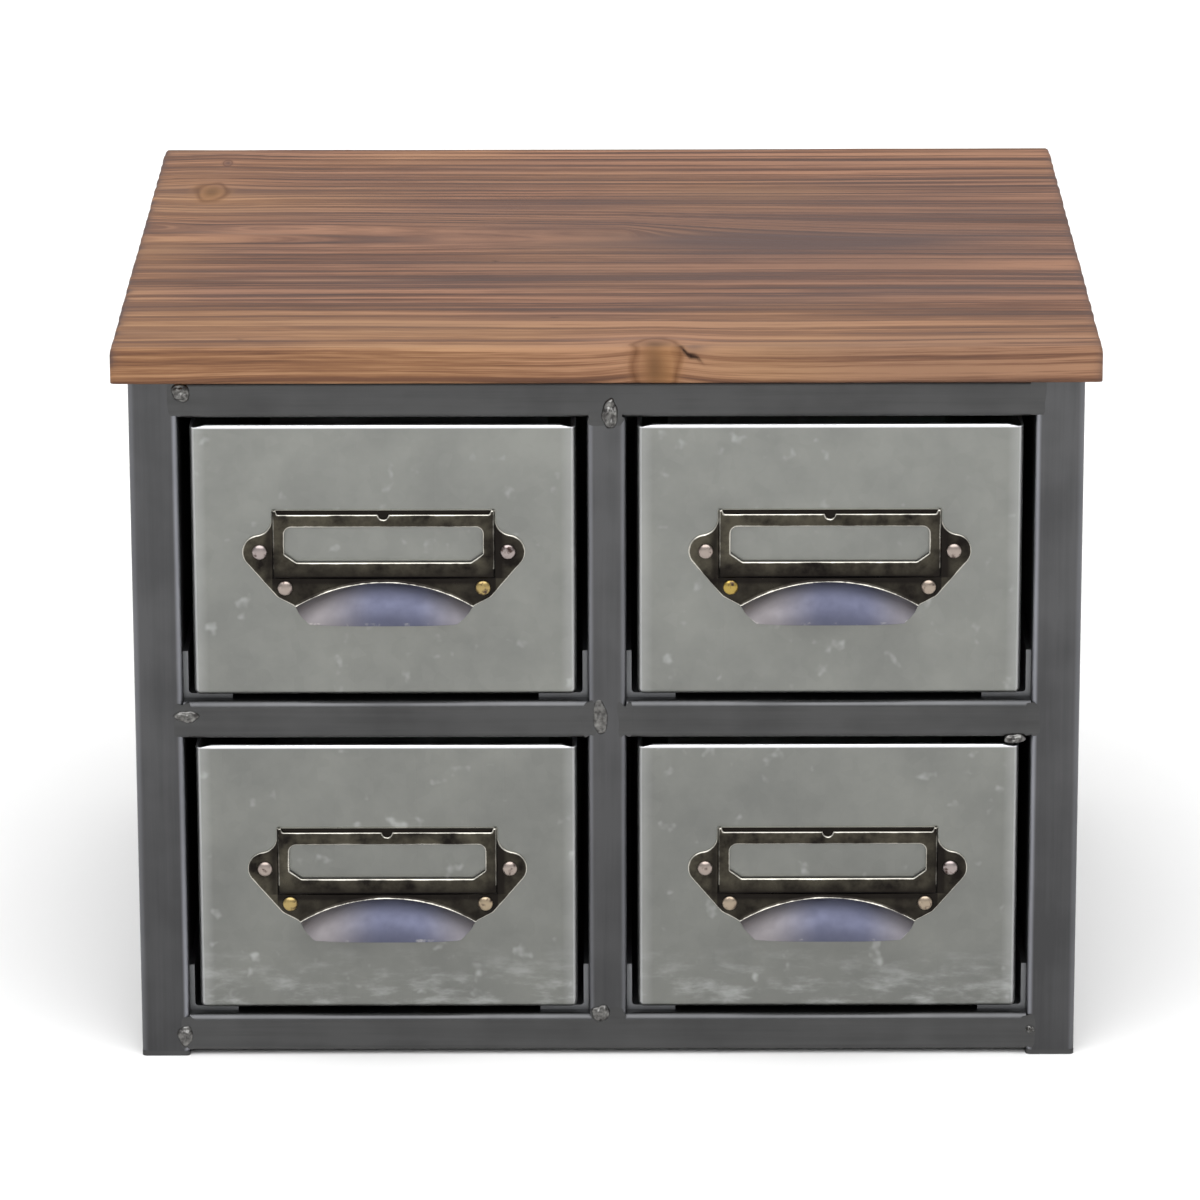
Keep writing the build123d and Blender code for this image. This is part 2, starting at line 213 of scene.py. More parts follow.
def shell(rings, hollow=False, **marks):
    """Closed surface through rings of points, an array of rows, columns and coordinates. A
    hollow one returns from its last ring to its first; another has flat ends. Marks are values
    kept for each point. Faces are turned outwards by the sign of the enclosed volume."""
    rows, columns = rings.shape[:2]
    points = rings.reshape(-1, 3)
    quads = grid_quads(rows, columns, hollow)
    caps = [] if hollow else [np.arange(columns)[::-1], np.arange(columns) + (rows - 1) * columns]
    a, b, c, d = (points[quads[:, k]] for k in range(4))
    volume = np.sum(a * (np.cross(b, c) + np.cross(c, d)))
    for cap in caps:
        start, rim = points[cap[0]], points[cap[1:]]
        volume += np.sum(start * np.cross(rim[:-1], rim[1:]))
    if volume < 0:
        quads, caps = quads[:, ::-1], [cap[::-1] for cap in caps]
    faces = quads.tolist() + [cap.tolist() for cap in caps]
    return points, faces, {key: value.reshape(len(points), -1) for key, value in marks.items()}


def add_piece(name, shells, material, body, replaces=(), sharp=38.0):
    """One mesh object made of closed shells, riding on a CAD body. Edges sharper than `sharp`
    degrees stay sharp."""
    points = np.concatenate([s[0] for s in shells])
    faces, start = [], 0
    for shell_points, shell_faces, _ in shells:
        faces += [[start + i for i in face] for face in shell_faces]
        start += len(shell_points)
    mesh = bpy.data.meshes.new(name)
    mesh.from_pydata(points * MM, [], faces)
    for key in shells[0][2]:
        values = np.concatenate([s[2][key] for s in shells]).astype(np.float32)
        vector = values.shape[1] == 3
        mark = mesh.attributes.new(key, "FLOAT_VECTOR" if vector else "FLOAT", "POINT")
        mark.data.foreach_set("vector" if vector else "value", values.ravel())
    mesh.shade_smooth()
    mesh.set_sharp_from_angle(angle=radians(sharp))
    mesh.materials.append(material)
    piece = bpy.data.objects.new(name, mesh)
    bpy.context.scene.collection.objects.link(piece)
    even = piece.modifiers.new("even_shading", "WEIGHTED_NORMAL")
    even.keep_sharp = True
    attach(piece, body)
    if replaces:
        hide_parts(*replaces)


def rounded_loop(width, height, radius, steps=6, straight=1):
    """Rectangle with round corners round the origin: a quarter circle at each corner in
    `steps` steps, and each straight side in `straight` parts."""
    corners = []
    for k, (to_x, to_y) in enumerate(((1, 1), (-1, 1), (-1, -1), (1, -1))):
        turns = np.linspace(0, pi / 2, steps + 1) + k * pi / 2
        centre = np.array([to_x * (width / 2 - radius), to_y * (height / 2 - radius)])
        corners.append(centre + radius * np.stack([np.cos(turns), np.sin(turns)], 1))
    parts = np.linspace(0, 1, straight + 1)[1:-1, None]
    loop = []
    for k in range(4):
        start, end = corners[k][-1], corners[(k + 1) % 4][0]
        loop += [corners[k], start + parts * (end - start)]
    return np.concatenate(loop)


def arc(centre, radius, start, end, steps):
    """Points of a circular arc between two angles in degrees."""
    turns = np.radians(np.linspace(start, end, steps))
    return np.array(centre) + radius * np.stack([np.cos(turns), np.sin(turns)], 1)


def ripple(*coords, seed, lengths, waves=9):
    """Smooth unevenness, mostly between -1 and 1: a sum of sine waves with seeded directions
    and phases, over the root of their number. `lengths` are their shortest lengths along each
    coordinate."""
    draw = np.random.default_rng(seed)
    total = 0.0
    for _ in range(waves):
        turns = sum(draw.uniform(-1, 1) * c / l for c, l in zip(coords, lengths))
        total = total + np.sin(2 * pi * (turns + draw.uniform()))
    return total / sqrt(waves)


def smooth_step(value, low, high):
    """0 at `low` and 1 at `high`, which may be the smaller, and 3t^2 - 2t^3 between them."""
    t = np.clip((value - low) / (high - low), 0, 1)
    return t * t * (3 - 2 * t)


def bell(x, y, centre, half):
    """A bell of height 1 round a centre: exp(-(dx / half x)^2 - (dy / half y)^2)."""
    return np.exp(-((x - centre[0]) / half[0]) ** 2 - ((y - centre[1]) / half[1]) ** 2)


# Materials ----------------------------------------------------------------------------------
#
# Patterns read Object coordinates, which are metres, so a scale is the number of features in a
# metre: 28 gives stains 36 mm across. A Mix node's inputs 0, 6 and 7 are its share and its two
# colours, and its output 2 is their mixture.

def connect(tree, node, inputs):
    """Gives a node's inputs, by name or number, a value or a link from another's output."""
    for key, value in inputs.items():
        if isinstance(value, bpy.types.NodeSocket):
            tree.links.new(value, node.inputs[key])
        else:
            node.inputs[key].default_value = value


def add(tree, kind, inputs=None, stops=None, **settings):
    """Adds a shader node with its settings and inputs and, on a colour ramp, its stops."""
    made = tree.nodes.new("ShaderNode" + kind)
    for key, value in settings.items():
        setattr(made, key, value)
    connect(tree, made, inputs or {})
    if stops:
        elements = made.color_ramp.elements
        while len(elements) < len(stops):
            elements.new(0.5)
        for element, (position, tone) in zip(elements, stops):
            element.position, element.color = position, tone
    return made


def new_material(name):
    """A node material and its shader."""
    made = bpy.data.materials.new(name)
    made.use_nodes = True
    return made, made.node_tree, made.node_tree.nodes["Principled BSDF"]


def painted_shade_below(tree, tone):
    """The colour of a tone with painted shade: a quarter darker near the floor than
    under the board.
    """
    height = add(tree, "SeparateXYZ", {"Vector": add(tree, "TexCoord").outputs["Object"]})
    part = add(tree, "MapRange", {"Value": height.outputs["Z"], "From Min": 0.02,
                                  "From Max": 0.27, "To Min": 0.75, "To Max": 1.0})
    return add(tree, "Mix", {0: 1.0, 6: tone, 7: part.outputs[0]}, data_type="RGBA",
               blend_type="MULTIPLY").outputs[2]


def satin_steel_tube(s, axis):
    """Cold-rolled steel tube under clear lacquer: a dark satin metal with faint drawing lines
    along the tube and soft mill stains. The level tubes take a darker copy of the steel as
    painted shade, the uprights are painted darker towards the floor, and the round edges carry
    a painted highlight."""
    made, tree, shader = new_material(f"satin_steel_tube_{axis}")
    place = add(tree, "TexCoord").outputs["Object"]
    stains = add(tree, "TexNoise", {"Vector": place, "Scale": 28.0, "Detail": 3.0,
                                    "Roughness": 0.55})
    # Drawing lines 0.9 mm apart, coarser than the real ones so that they show
    stretch = [1080.0, 1080.0, 1080.0]
    stretch["xyz".index(axis)] = 30.0
    lines_at = add(tree, "Mapping", {"Vector": place, "Scale": stretch})
    lines = add(tree, "TexNoise", {"Vector": lines_at.outputs[0], "Scale": 1.0, "Detail": 2.0})
    # Streaks 6 mm apart, as much stretched
    streak = add(tree, "TexNoise", {"Vector": lines_at.outputs[0], "Scale": 0.16,
                                    "Detail": 4.0, "Roughness": 0.7})
    both = add(tree, "Math", {0: stains.outputs["Fac"], 1: streak.outputs["Fac"]},
               operation="ADD")
    mean = add(tree, "Math", {0: both.outputs[0], 1: 0.5}, operation="MULTIPLY")
    # Level tubes take the darker copy of the steel as painted shade
    base = s.steel if axis == "z" else s.shaded_level_steel
    stain = [0.78 * part for part in base[:3]] + [1.0]
    tone = add(tree, "ValToRGB", {"Fac": mean.outputs[0]},
               stops=[(0.42, base), (0.60, stain)]).outputs[0]
    # Uprights are painted darker towards the floor, as shade
    if axis == "z":
        tone = painted_shade_below(tree, tone)
    # The round edges carry a painted highlight, unevenly in streaks 8 mm apart
    rubbed = add(tree, "Attribute", attribute_name="rubbed").outputs["Fac"]
    uneven = add(tree, "TexNoise", {"Vector": lines_at.outputs[0], "Scale": 0.12, "Detail": 3.0})
    highlight_streaks = add(tree, "MapRange", {"Value": uneven.outputs["Fac"], "From Min": 0.3,
                                          "From Max": 0.65, "To Min": 0.25, "To Max": 0.9})
    bright = add(tree, "Math", {0: highlight_streaks.outputs[0], 1: rubbed}, operation="MULTIPLY")
    edged = add(tree, "Mix", {0: bright.outputs[0], 6: tone, 7: s.rubbed}, data_type="RGBA")
    rough = add(tree, "MapRange", {"Value": stains.outputs["Fac"], "From Min": 0.3,
                                   "From Max": 0.7, "To Min": s.rough - 0.05,
                                   "To Max": s.rough + 0.08})
    bump = add(tree, "Bump", {"Height": lines.outputs["Fac"], "Strength": 0.25,
                              "Distance": 0.05 * MM})
    connect(tree, shader, {"Base Color": edged.outputs[2], "Metallic": 1.0,
                           "Roughness": rough.outputs[0], "Normal": bump.outputs[0]})
    return made


def weld_metal(s):
    """Bare weld metal: bright, with dark scale in grains of about 2 mm."""
    made, tree, shader = new_material("bare_weld_metal")
    place = add(tree, "TexCoord").outputs["Object"]
    grain = add(tree, "TexNoise", {"Vector": place, "Scale": 420.0, "Detail": 3.0})
    tone = add(tree, "ValToRGB", {"Fac": grain.outputs["Fac"]},
               stops=[(0.34, s.soot), (0.68, s.bead)])
    bump = add(tree, "Bump", {"Height": grain.outputs["Fac"], "Strength": 0.3,
                              "Distance": 0.15 * MM})
    connect(tree, shader, {"Base Color": tone.outputs[0], "Metallic": 1.0, "Roughness": 0.32,
                           "Normal": bump.outputs[0]})
    return made


def dark_sheet(s):
    """Cold-rolled sheet for sides, back and runners: satin, in soft clouds 50 mm across, with
    a fine tooth drawn about 1 mm apart so that it shows."""
    made, tree, shader = new_material("dark_rolled_sheet")
    place = add(tree, "TexCoord").outputs["Object"]
    clouds = add(tree, "TexNoise", {"Vector": place, "Scale": 20.0, "Detail": 4.0})
    tone = add(tree, "ValToRGB", {"Fac": clouds.outputs["Fac"]},
               stops=[(0.35, linear("#68696a")), (0.65, s.panel)])
    tooth = add(tree, "TexNoise", {"Vector": place, "Scale": 900.0, "Detail": 1.0})
    bump = add(tree, "Bump", {"Height": tooth.outputs["Fac"], "Strength": 0.2,
                              "Distance": 0.05 * MM})
    rough = add(tree, "MapRange", {"Value": clouds.outputs["Fac"], "To Min": 0.36,
                                   "To Max": 0.52})
    connect(tree, shader, {"Base Color": tone.outputs[0], "Metallic": 1.0,
                           "Roughness": rough.outputs[0], "Normal": bump.outputs[0]})
    return made


def galvanised_sheet(s):
    """Hot-dip galvanised sheet: dull zinc in soft clouds, faint rolling lines, small white
    water spots and a few scratches, with more stains near the floor. It is painted darker
    towards the floor as shade, near white along the hems and folds as a highlight, and lighter
    inside."""
    made, tree, shader = new_material("galvanised_sheet")
    place = add(tree, "TexCoord").outputs["Object"]
    # Clouds 42 mm across, and zinc crystals of 5 mm that differ very little
    clouds = add(tree, "TexNoise", {"Vector": place, "Scale": 24.0, "Detail": 5.0,
                                    "Roughness": 0.6})
    tone = add(tree, "ValToRGB", {"Fac": clouds.outputs["Fac"]},
               stops=[(0.34, s.cloud), (0.66, s.zinc)])
    spangle = add(tree, "TexVoronoi", {"Vector": place, "Scale": 190.0})
    facet = add(tree, "MapRange", {"Value": spangle.outputs["Color"], "To Min": 0.97,
                                   "To Max": 1.03})
    # Painted shade: the zinc a quarter darker near the floor
    crystals = add(tree, "Mix", {0: 1.0, 6: painted_shade_below(tree, tone.outputs[0]),
                                 7: facet.outputs[0]}, data_type="RGBA",
                   blend_type="MULTIPLY")
    # Water spots 1 to 3 mm across, about 10 mm apart
    spots = add(tree, "TexNoise", {"Vector": place, "Scale": 105.0, "Detail": 2.0})
    spot_mask = add(tree, "MapRange", {"Value": spots.outputs["Fac"], "From Min": 0.64,
                                       "From Max": 0.82}, interpolation_type="SMOOTHSTEP")
    # Flecks 5 mm high and 16 mm wide near the floor, gone at a height of 54 mm
    height = add(tree, "SeparateXYZ", {"Vector": place})
    low = add(tree, "MapRange", {"Value": height.outputs["Z"], "From Min": 0.054,
                                 "From Max": 0.020}, interpolation_type="SMOOTHSTEP")
    stain_at = add(tree, "Mapping", {"Vector": place, "Scale": [64.0, 64.0, 190.0]})
    stain = add(tree, "TexNoise", {"Vector": stain_at.outputs[0], "Scale": 1.0, "Detail": 4.0,
                                   "Roughness": 0.6})
    stain_mask = add(tree, "MapRange", {"Value": stain.outputs["Fac"], "From Min": 0.44,
                                        "From Max": 0.78}, interpolation_type="SMOOTHSTEP")
    low_stain = add(tree, "Math", {0: low.outputs[0], 1: stain_mask.outputs[0]},
                    operation="MULTIPLY")
    marks = add(tree, "Math", {0: low_stain.outputs[0], 1: spot_mask.outputs[0]},
                operation="MAXIMUM")
    marks = add(tree, "Math", {0: marks.outputs[0], 1: 0.48}, operation="MULTIPLY")
    marked = add(tree, "Mix", {0: marks.outputs[0], 6: crystals.outputs[2], 7: s.spot},
                 data_type="RGBA")
    # Painted highlight along the hems and folds, and painted light inside, by the `rubbed` mark
    rubbed = add(tree, "Attribute", attribute_name="rubbed").outputs["Fac"]
    marked = add(tree, "Mix", {0: rubbed, 6: marked.outputs[2], 7: s.hem_highlight},
                 data_type="RGBA")
    # Level rolling lines, drawn 0.8 mm apart, coarser than the real ones so that they show
    lines_at = add(tree, "Mapping", {"Vector": place, "Scale": [18.0, 18.0, 1200.0]})
    lines = add(tree, "TexNoise", {"Vector": lines_at.outputs[0], "Scale": 1.0, "Detail": 1.0})
    # A few scratches at a slant, up to 70 mm long
    scratch_at = add(tree, "Mapping", {"Vector": place, "Rotation": [0.0, 0.6, 0.0],
                                       "Scale": [900.0, 900.0, 14.0]})
    scratch = add(tree, "TexNoise", {"Vector": scratch_at.outputs[0], "Scale": 1.0,
                                     "Detail": 0.0})
    scratch_mask = add(tree, "MapRange", {"Value": scratch.outputs["Fac"], "From Min": 0.74,
                                          "From Max": 0.80})
    height_sum = add(tree, "Math", {0: lines.outputs["Fac"], 1: scratch_mask.outputs[0]},
                     operation="SUBTRACT")
    bump = add(tree, "Bump", {"Height": height_sum.outputs[0], "Strength": 0.35,
                              "Distance": 0.04 * MM})
    rough = add(tree, "MapRange", {"Value": clouds.outputs["Fac"], "From Min": 0.3,
                                   "From Max": 0.7, "To Min": 0.48, "To Max": 0.34})
    rougher = add(tree, "Math", {0: marks.outputs[0], 1: 0.12, 2: rough.outputs[0]},
                  operation="MULTIPLY_ADD")
    connect(tree, shader, {"Base Color": marked.outputs[2], "Metallic": 1.0,
                           "Roughness": rougher.outputs[0], "Normal": bump.outputs[0]})
    return made


def antique_bronze(s):
    """Stamped steel with an antique bronze finish: dark, with patina in blotches and painted
    shade under and beside the raised frame, rubbed bright and painted with glints along its
    edges, with a blue grey painted reflection on the cup. The `wear` mark of each
    point is its share of rubbed metal and painted glint, and `cup` its shares of the cup's
    painted reflection, of the painted highlight on the cup's pale ends and of painted shade."""
    made, tree, shader = new_material("antique_bronze_stamping")
    place = add(tree, "TexCoord").outputs["Object"]
    wear = add(tree, "Attribute", attribute_name="wear").outputs["Fac"]
    cup = add(tree, "Attribute", attribute_name="cup").outputs["Vector"]
    cup_parts = add(tree, "SeparateXYZ", {"Vector": cup})
    # Blotches 8 mm across, and the sheet's grain, drawn 1.1 mm apart so that it shows
    blotch = add(tree, "TexNoise", {"Vector": place, "Scale": 120.0, "Detail": 4.0,
                                    "Roughness": 0.6})
    fine = add(tree, "TexNoise", {"Vector": place, "Scale": 900.0, "Detail": 2.0})
    tone = add(tree, "ValToRGB", {"Fac": blotch.outputs["Fac"]},
               stops=[(0.32, s.patina), (0.62, s.bronze)])
    # The cup: a blue grey painted reflection, with a painted highlight on its paler ends
    pale = add(tree, "Mix", {0: cup_parts.outputs["Y"], 6: s.cup, 7: s.cup_end_highlight},
               data_type="RGBA")
    # Painted shade: the patina colour by the third share of the `cup` mark
    hollow = add(tree, "Mix", {0: cup_parts.outputs["Z"], 6: tone.outputs[0], 7: s.patina},
                 data_type="RGBA")
    with_cup = add(tree, "Mix", {0: cup_parts.outputs["X"], 6: hollow.outputs[2],
                                 7: pale.outputs[2]}, data_type="RGBA")
    # Rubbed metal and painted glints show where the edge mark and the blotches are both high
    worn = add(tree, "Math", {0: blotch.outputs["Fac"], 1: 0.42}, operation="SUBTRACT")
    worn = add(tree, "Math", {0: worn.outputs[0], 1: 1.1, 2: wear}, operation="MULTIPLY_ADD")
    worn = add(tree, "MapRange", {"Value": worn.outputs[0], "From Min": 0.5, "From Max": 0.95})
    shown = add(tree, "Mix", {0: worn.outputs[0], 6: with_cup.outputs[2], 7: s.worn},
                data_type="RGBA")
    bump = add(tree, "Bump", {"Height": fine.outputs["Fac"], "Strength": 0.3,
                              "Distance": 0.05 * MM})
    rough = add(tree, "MapRange", {"Value": blotch.outputs["Fac"], "From Min": 0.3,
                                   "From Max": 0.7, "To Min": 0.42, "To Max": 0.26})
    rough = add(tree, "Math", {0: cup_parts.outputs["X"], 1: 0.24, 2: rough.outputs[0]},
                operation="MULTIPLY_ADD")
    connect(tree, shader, {"Base Color": shown.outputs[2], "Metallic": 1.0,
                           "Roughness": rough.outputs[0], "Normal": bump.outputs[0]})
    return made


def plated_rivet(s):
    """Plated steel rivets: rubbed and pinkish, with dark spots of about 2 mm and with brass
    showing on some of them, by each point's `brass` share."""
    made, tree, shader = new_material("worn_plated_rivet")
    place = add(tree, "TexCoord").outputs["Object"]
    brass = add(tree, "Attribute", attribute_name="brass").outputs["Fac"]
    blotch = add(tree, "TexNoise", {"Vector": place, "Scale": 420.0, "Detail": 3.0})
    tone = add(tree, "Mix", {0: brass, 6: s.steel, 7: s.brass}, data_type="RGBA")
    dark = add(tree, "MapRange", {"Value": blotch.outputs["Fac"], "From Min": 0.56,
                                  "From Max": 0.7})
    shown = add(tree, "Mix", {0: dark.outputs[0], 6: tone.outputs[2], 7: linear("#4a3c38")},
                data_type="RGBA")
    bump = add(tree, "Bump", {"Height": blotch.outputs["Fac"], "Strength": 0.5,
                              "Distance": 0.2 * MM})
    connect(tree, shader, {"Base Color": shown.outputs[2], "Metallic": 1.0, "Roughness": 0.3,
                           "Normal": bump.outputs[0]})
    return made


def zinc_plate(s):
    """Bright zinc-plated steel screws, a little uneven in patches of 1.7 mm."""
    made, tree, shader = new_material("zinc_plated_screw")
    place = add(tree, "TexCoord").outputs["Object"]
    patch = add(tree, "TexNoise", {"Vector": place, "Scale": 600.0, "Detail": 2.0})
    tone = add(tree, "ValToRGB", {"Fac": patch.outputs["Fac"]},
               stops=[(0.3, linear("#8f9296")), (0.6, s.zinc)])
    connect(tree, shader, {"Base Color": tone.outputs[0], "Metallic": 1.0, "Roughness": 0.3})
    return made


def brushed_fir(s):
    """Wire-brushed, stained fir: pale early wood between dark late-wood lines that run along
    the board, fine fibres, amber knots, a warm front and a greyer middle. The `grain` mark of
    each point holds its distances along the board and across the rings, in millimetres, and
    its share of a crack; `tone` holds its warm, grey and pale shares, and `knot` its distance
    from the nearest knot's axis as a share of the knot's radius."""
    made, tree, shader = new_material("brushed_stained_fir")
    place = add(tree, "TexCoord").outputs["Object"]
    grain = add(tree, "Attribute", attribute_name="grain").outputs["Vector"]
    tone = add(tree, "SeparateXYZ",
               {"Vector": add(tree, "Attribute", attribute_name="tone").outputs["Vector"]})
    knot = add(tree, "Attribute", attribute_name="knot").outputs["Fac"]

    def streaks(along, across, shift):
        """Noise stretched along the grain, its features this long and wide in millimetres."""
        at = add(tree, "Mapping", {"Vector": grain, "Scale": [1 / along, 1 / across, 0.0],
                                   "Location": [shift, shift * 1.7, 0.0]})
        return add(tree, "TexNoise", {"Vector": at.outputs[0], "Scale": 1.0, "Detail": 2.0,
                                      "Roughness": 0.55}).outputs["Fac"]

    bands = streaks(520.0, 9.0, 3.1)
    lines = streaks(400.0, 2.1, 11.7)
    fibres = streaks(26.0, 0.55, 23.9)
    # The wood's lightness is a weighted sum of the three
    value = add(tree, "Math", {0: bands, 1: 0.95, 2: -0.355}, operation="MULTIPLY_ADD")
    value = add(tree, "Math", {0: lines, 1: 0.88, 2: value.outputs[0]},
                operation="MULTIPLY_ADD")
    value = add(tree, "Math", {0: fibres, 1: 0.42, 2: value.outputs[0]},
                operation="MULTIPLY_ADD")
    # One growth ring: pale, then slowly darker to a sharp late-wood line. The ramp gives an
    # amount, not a colour, and less of it is taken in pale bands, by knots and in the front.
    rings = add(tree, "SeparateXYZ", {"Vector": grain})
    turn = add(tree, "Math", {0: rings.outputs["Y"], 1: MM / s.ring}, operation="MULTIPLY")
    turn = add(tree, "Math", {0: turn.outputs[0]}, operation="FRACT")
    late = add(tree, "ValToRGB", {"Fac": turn.outputs[0]},
               stops=[(0.0, (0, 0, 0, 1)), (0.55, (0.05, 0.05, 0.05, 1)),
                      (0.88, (1, 1, 1, 1)), (0.97, (0, 0, 0, 1))])
    strength = add(tree, "MapRange", {"Value": bands, "From Min": 0.35, "From Max": 0.62,
                                      "To Min": 0.34, "To Max": 0.02})
    clear = add(tree, "MapRange", {"Value": knot, "From Min": 1.0, "From Max": 3.2,
                                   "To Min": 0.25})
    drop = add(tree, "Math", {0: late.outputs[0], 1: strength.outputs[0]},
               operation="MULTIPLY")
    drop = add(tree, "Math", {0: drop.outputs[0], 1: clear.outputs[0]}, operation="MULTIPLY")
    calm = add(tree, "MapRange", {"Value": tone.outputs["X"], "From Min": 0.2, "From Max": 0.8,
                                  "To Min": 1.0, "To Max": 0.15})
    drop = add(tree, "Math", {0: drop.outputs[0], 1: calm.outputs[0]}, operation="MULTIPLY")
    value = add(tree, "Math", {0: value.outputs[0], 1: drop.outputs[0]}, operation="SUBTRACT")
    cool = add(tree, "ValToRGB", {"Fac": value.outputs[0]},
               stops=[(0.58, s.dark), (0.73, s.mid), (0.90, s.pale)])
    warm = add(tree, "ValToRGB", {"Fac": value.outputs[0]},
               stops=[(0.55, s.warm_dark), (0.74, s.warm_mid), (0.94, s.warm_pale)])
    warmed = add(tree, "Mix", {0: tone.outputs["X"], 6: cool.outputs[0], 7: warm.outputs[0]},
                 data_type="RGBA")
    greyed = add(tree, "Mix", {0: tone.outputs["Y"], 6: warmed.outputs[2], 7: s.grey},
                 data_type="RGBA")
    paled = add(tree, "Mix", {0: tone.outputs["Z"], 6: greyed.outputs[2], 7: s.pale},
                data_type="RGBA")
    # Knots: amber heart, darker bark ring, then the grain again
    fresh = add(tree, "MapRange", {"Value": tone.outputs["X"], "From Min": 0.35,
                                   "From Max": 0.55})
    heart = add(tree, "Mix", {0: fresh.outputs[0], 6: s.old_knot, 7: s.knot},
                data_type="RGBA")
    shade = add(tree, "MapRange", {"Value": knot, "From Max": 0.75, "To Min": 0.72,
                                   "To Max": 1.25}, interpolation_type="SMOOTHSTEP")
    heart = add(tree, "Mix", {0: 1.0, 6: heart.outputs[2], 7: shade.outputs[0]},
                data_type="RGBA", blend_type="MULTIPLY")
    in_knot = add(tree, "MapRange", {"Value": knot, "From Min": 1.6, "From Max": 0.1,
                                     "To Max": 0.9}, interpolation_type="SMOOTHSTEP")
    knotted = add(tree, "Mix", {0: in_knot.outputs[0], 6: paled.outputs[2],
                                7: heart.outputs[2]}, data_type="RGBA")
    bark_at = add(tree, "Math", {0: knot, 1: 0.5}, operation="MULTIPLY")
    bark = add(tree, "ValToRGB", {"Fac": bark_at.outputs[0]},
               stops=[(0.34, linear("#ffffff")), (0.45, linear("#d4cbc4")),
                      (0.58, linear("#ffffff"))])
    knotted = add(tree, "Mix", {0: 1.0, 6: knotted.outputs[2], 7: bark.outputs[0]},
                  data_type="RGBA", blend_type="MULTIPLY")
    # Cracks and nicks are nearly black
    cracked = add(tree, "Mix", {0: rings.outputs["Z"], 6: knotted.outputs[2],
                                7: linear("#2a1b14")}, data_type="RGBA")
    # Pores, drawn 0.7 mm apart so that they show
    pores = add(tree, "TexNoise", {"Vector": place, "Scale": 1400.0, "Detail": 1.0})
    height = add(tree, "Math", {0: fibres, 1: pores.outputs["Fac"]}, operation="ADD")
    bump = add(tree, "Bump", {"Height": height.outputs[0], "Strength": 0.5,
                              "Distance": 0.12 * MM})
    rough = add(tree, "MapRange", {"Value": value.outputs[0], "From Min": 0.5,
                                   "From Max": 0.95, "To Min": 0.46, "To Max": 0.62})
    connect(tree, shader, {"Base Color": cracked.outputs[2], "Roughness": rough.outputs[0],
                           "Specular IOR Level": 0.08, "Normal": bump.outputs[0]})
    return made


def matt_paper(s):
    """Matt paper sweep of the studio, with a barely visible tooth 3 mm apart."""
    made, tree, shader = new_material("matt_paper")
    place = add(tree, "TexCoord").outputs["Object"]
    tooth = add(tree, "TexNoise", {"Vector": place, "Scale": 300.0, "Detail": 2.0})
    bump = add(tree, "Bump", {"Height": tooth.outputs["Fac"], "Strength": 0.05,
                              "Distance": 0.1 * MM})
    connect(tree, shader, {"Base Color": s.floor, "Roughness": 0.9, "Normal": bump.outputs[0]})
    return made


# Frame --------------------------------------------------------------------------------------

TUBES = [*(f"{end}_post_{side}" for end in ("front", "rear") for side in SIDES),
         *(f"{end}_{level}_rail" for end in ("front", "rear") for level in ("top", "bottom")),
         "rear_middle_rail", *(f"front_middle_rail_{side}" for side in SIDES),
         "front_centre_post",
         *(f"side_{level}_rail_{side}" for level in ("top", "bottom") for side in SIDES)]
SHEETS = ["back_panel", *(f"side_panel_{side}" for side in SIDES)]
RUNNERS = [f"runner_{level}_{side}_{edge}" for level in LEVELS for side in SIDES
           for edge in ("inner", "outer")]


def square_tube(low, high, corner, wall):
    """The tube that fills a box: the outer rounded square carried along the box's longest side
    and back again as the bore, so that both ends close. The `rubbed` mark is the share
    of painted highlight on its outer corners."""
    size = high - low
    along = int(np.argmax(size))
    across = [k for k in range(3) if k != along]
    width = size[across[0]]
    rounding = (0, 0.3, 0.8, 1, 1, 1, 0.8, 0.3, 0)    # share of painted highlight over a corner's points
    steps = len(rounding) - 1
    outer = rounded_loop(width, width, corner, steps)
    bore = rounded_loop(width - 2 * wall, width - 2 * wall, corner - wall, steps)
    rings = np.zeros((4, len(outer), 3))
    middle = (low + high) / 2
    for row, (loop, end) in enumerate(((outer, low), (outer, high), (bore, high), (bore, low))):
        rings[row, :, across] = (loop + middle[across]).T
        rings[row, :, along] = end[along]
    # Level tubes carry a painted highlight along their upper corners. Uprights carry it along
    # all four, and most along the front corner that faces the drawers.
    if along == 2:
        on_axis = abs(middle[0]) < 1
        corners = (0.3, 0.3, *(0.45 if on_axis else 1.0 if side * middle[0] < 0 else 0.3
                               for side in (-1, 1)))
    else:
        corners = (0.12, 0.12, 0.0, 0.0)
    rubbed = np.zeros(rings.shape[:2])
    rubbed[:2] = np.outer(corners, rounding).ravel()
    return shell(rings, hollow=True, rubbed=rubbed), "xyz"[along]


class CABINET_OT_frame(bpy.types.Operator):
    """Square tubes with round satin corners, and the sheets, caps and runners of the CAD"""
    bl_idname = "cabinet.frame"
    bl_label = "Tubes, sheets and runners"

    def execute(self, context):
        s = context.scene.cabinet_frame
        steels = {axis: satin_steel_tube(s, axis) for axis in "xyz"}
        for node in TUBES:
            tube, axis = square_tube(*box_mm(node), s.corner / MM, s.wall / MM)
            add_piece(f"{node}_tube", [tube], steels[axis], "cabinet", [node])
        sheet = dark_sheet(context.scene.cabinet_sheet)
        for node in SHEETS + RUNNERS:
            set_finish(node, sheet)
        set_finish("post_foot_caps", steels["x"])
        return {"FINISHED"}


def set_finish(node, material):
    """Gives a CAD node that stays in view its procedural material."""
    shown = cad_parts[node]
    if not shown.material_slots:
        shown.data.materials.append(material)
    for slot in shown.material_slots:
        slot.material = material


# Welds --------------------------------------------------------------------------------------

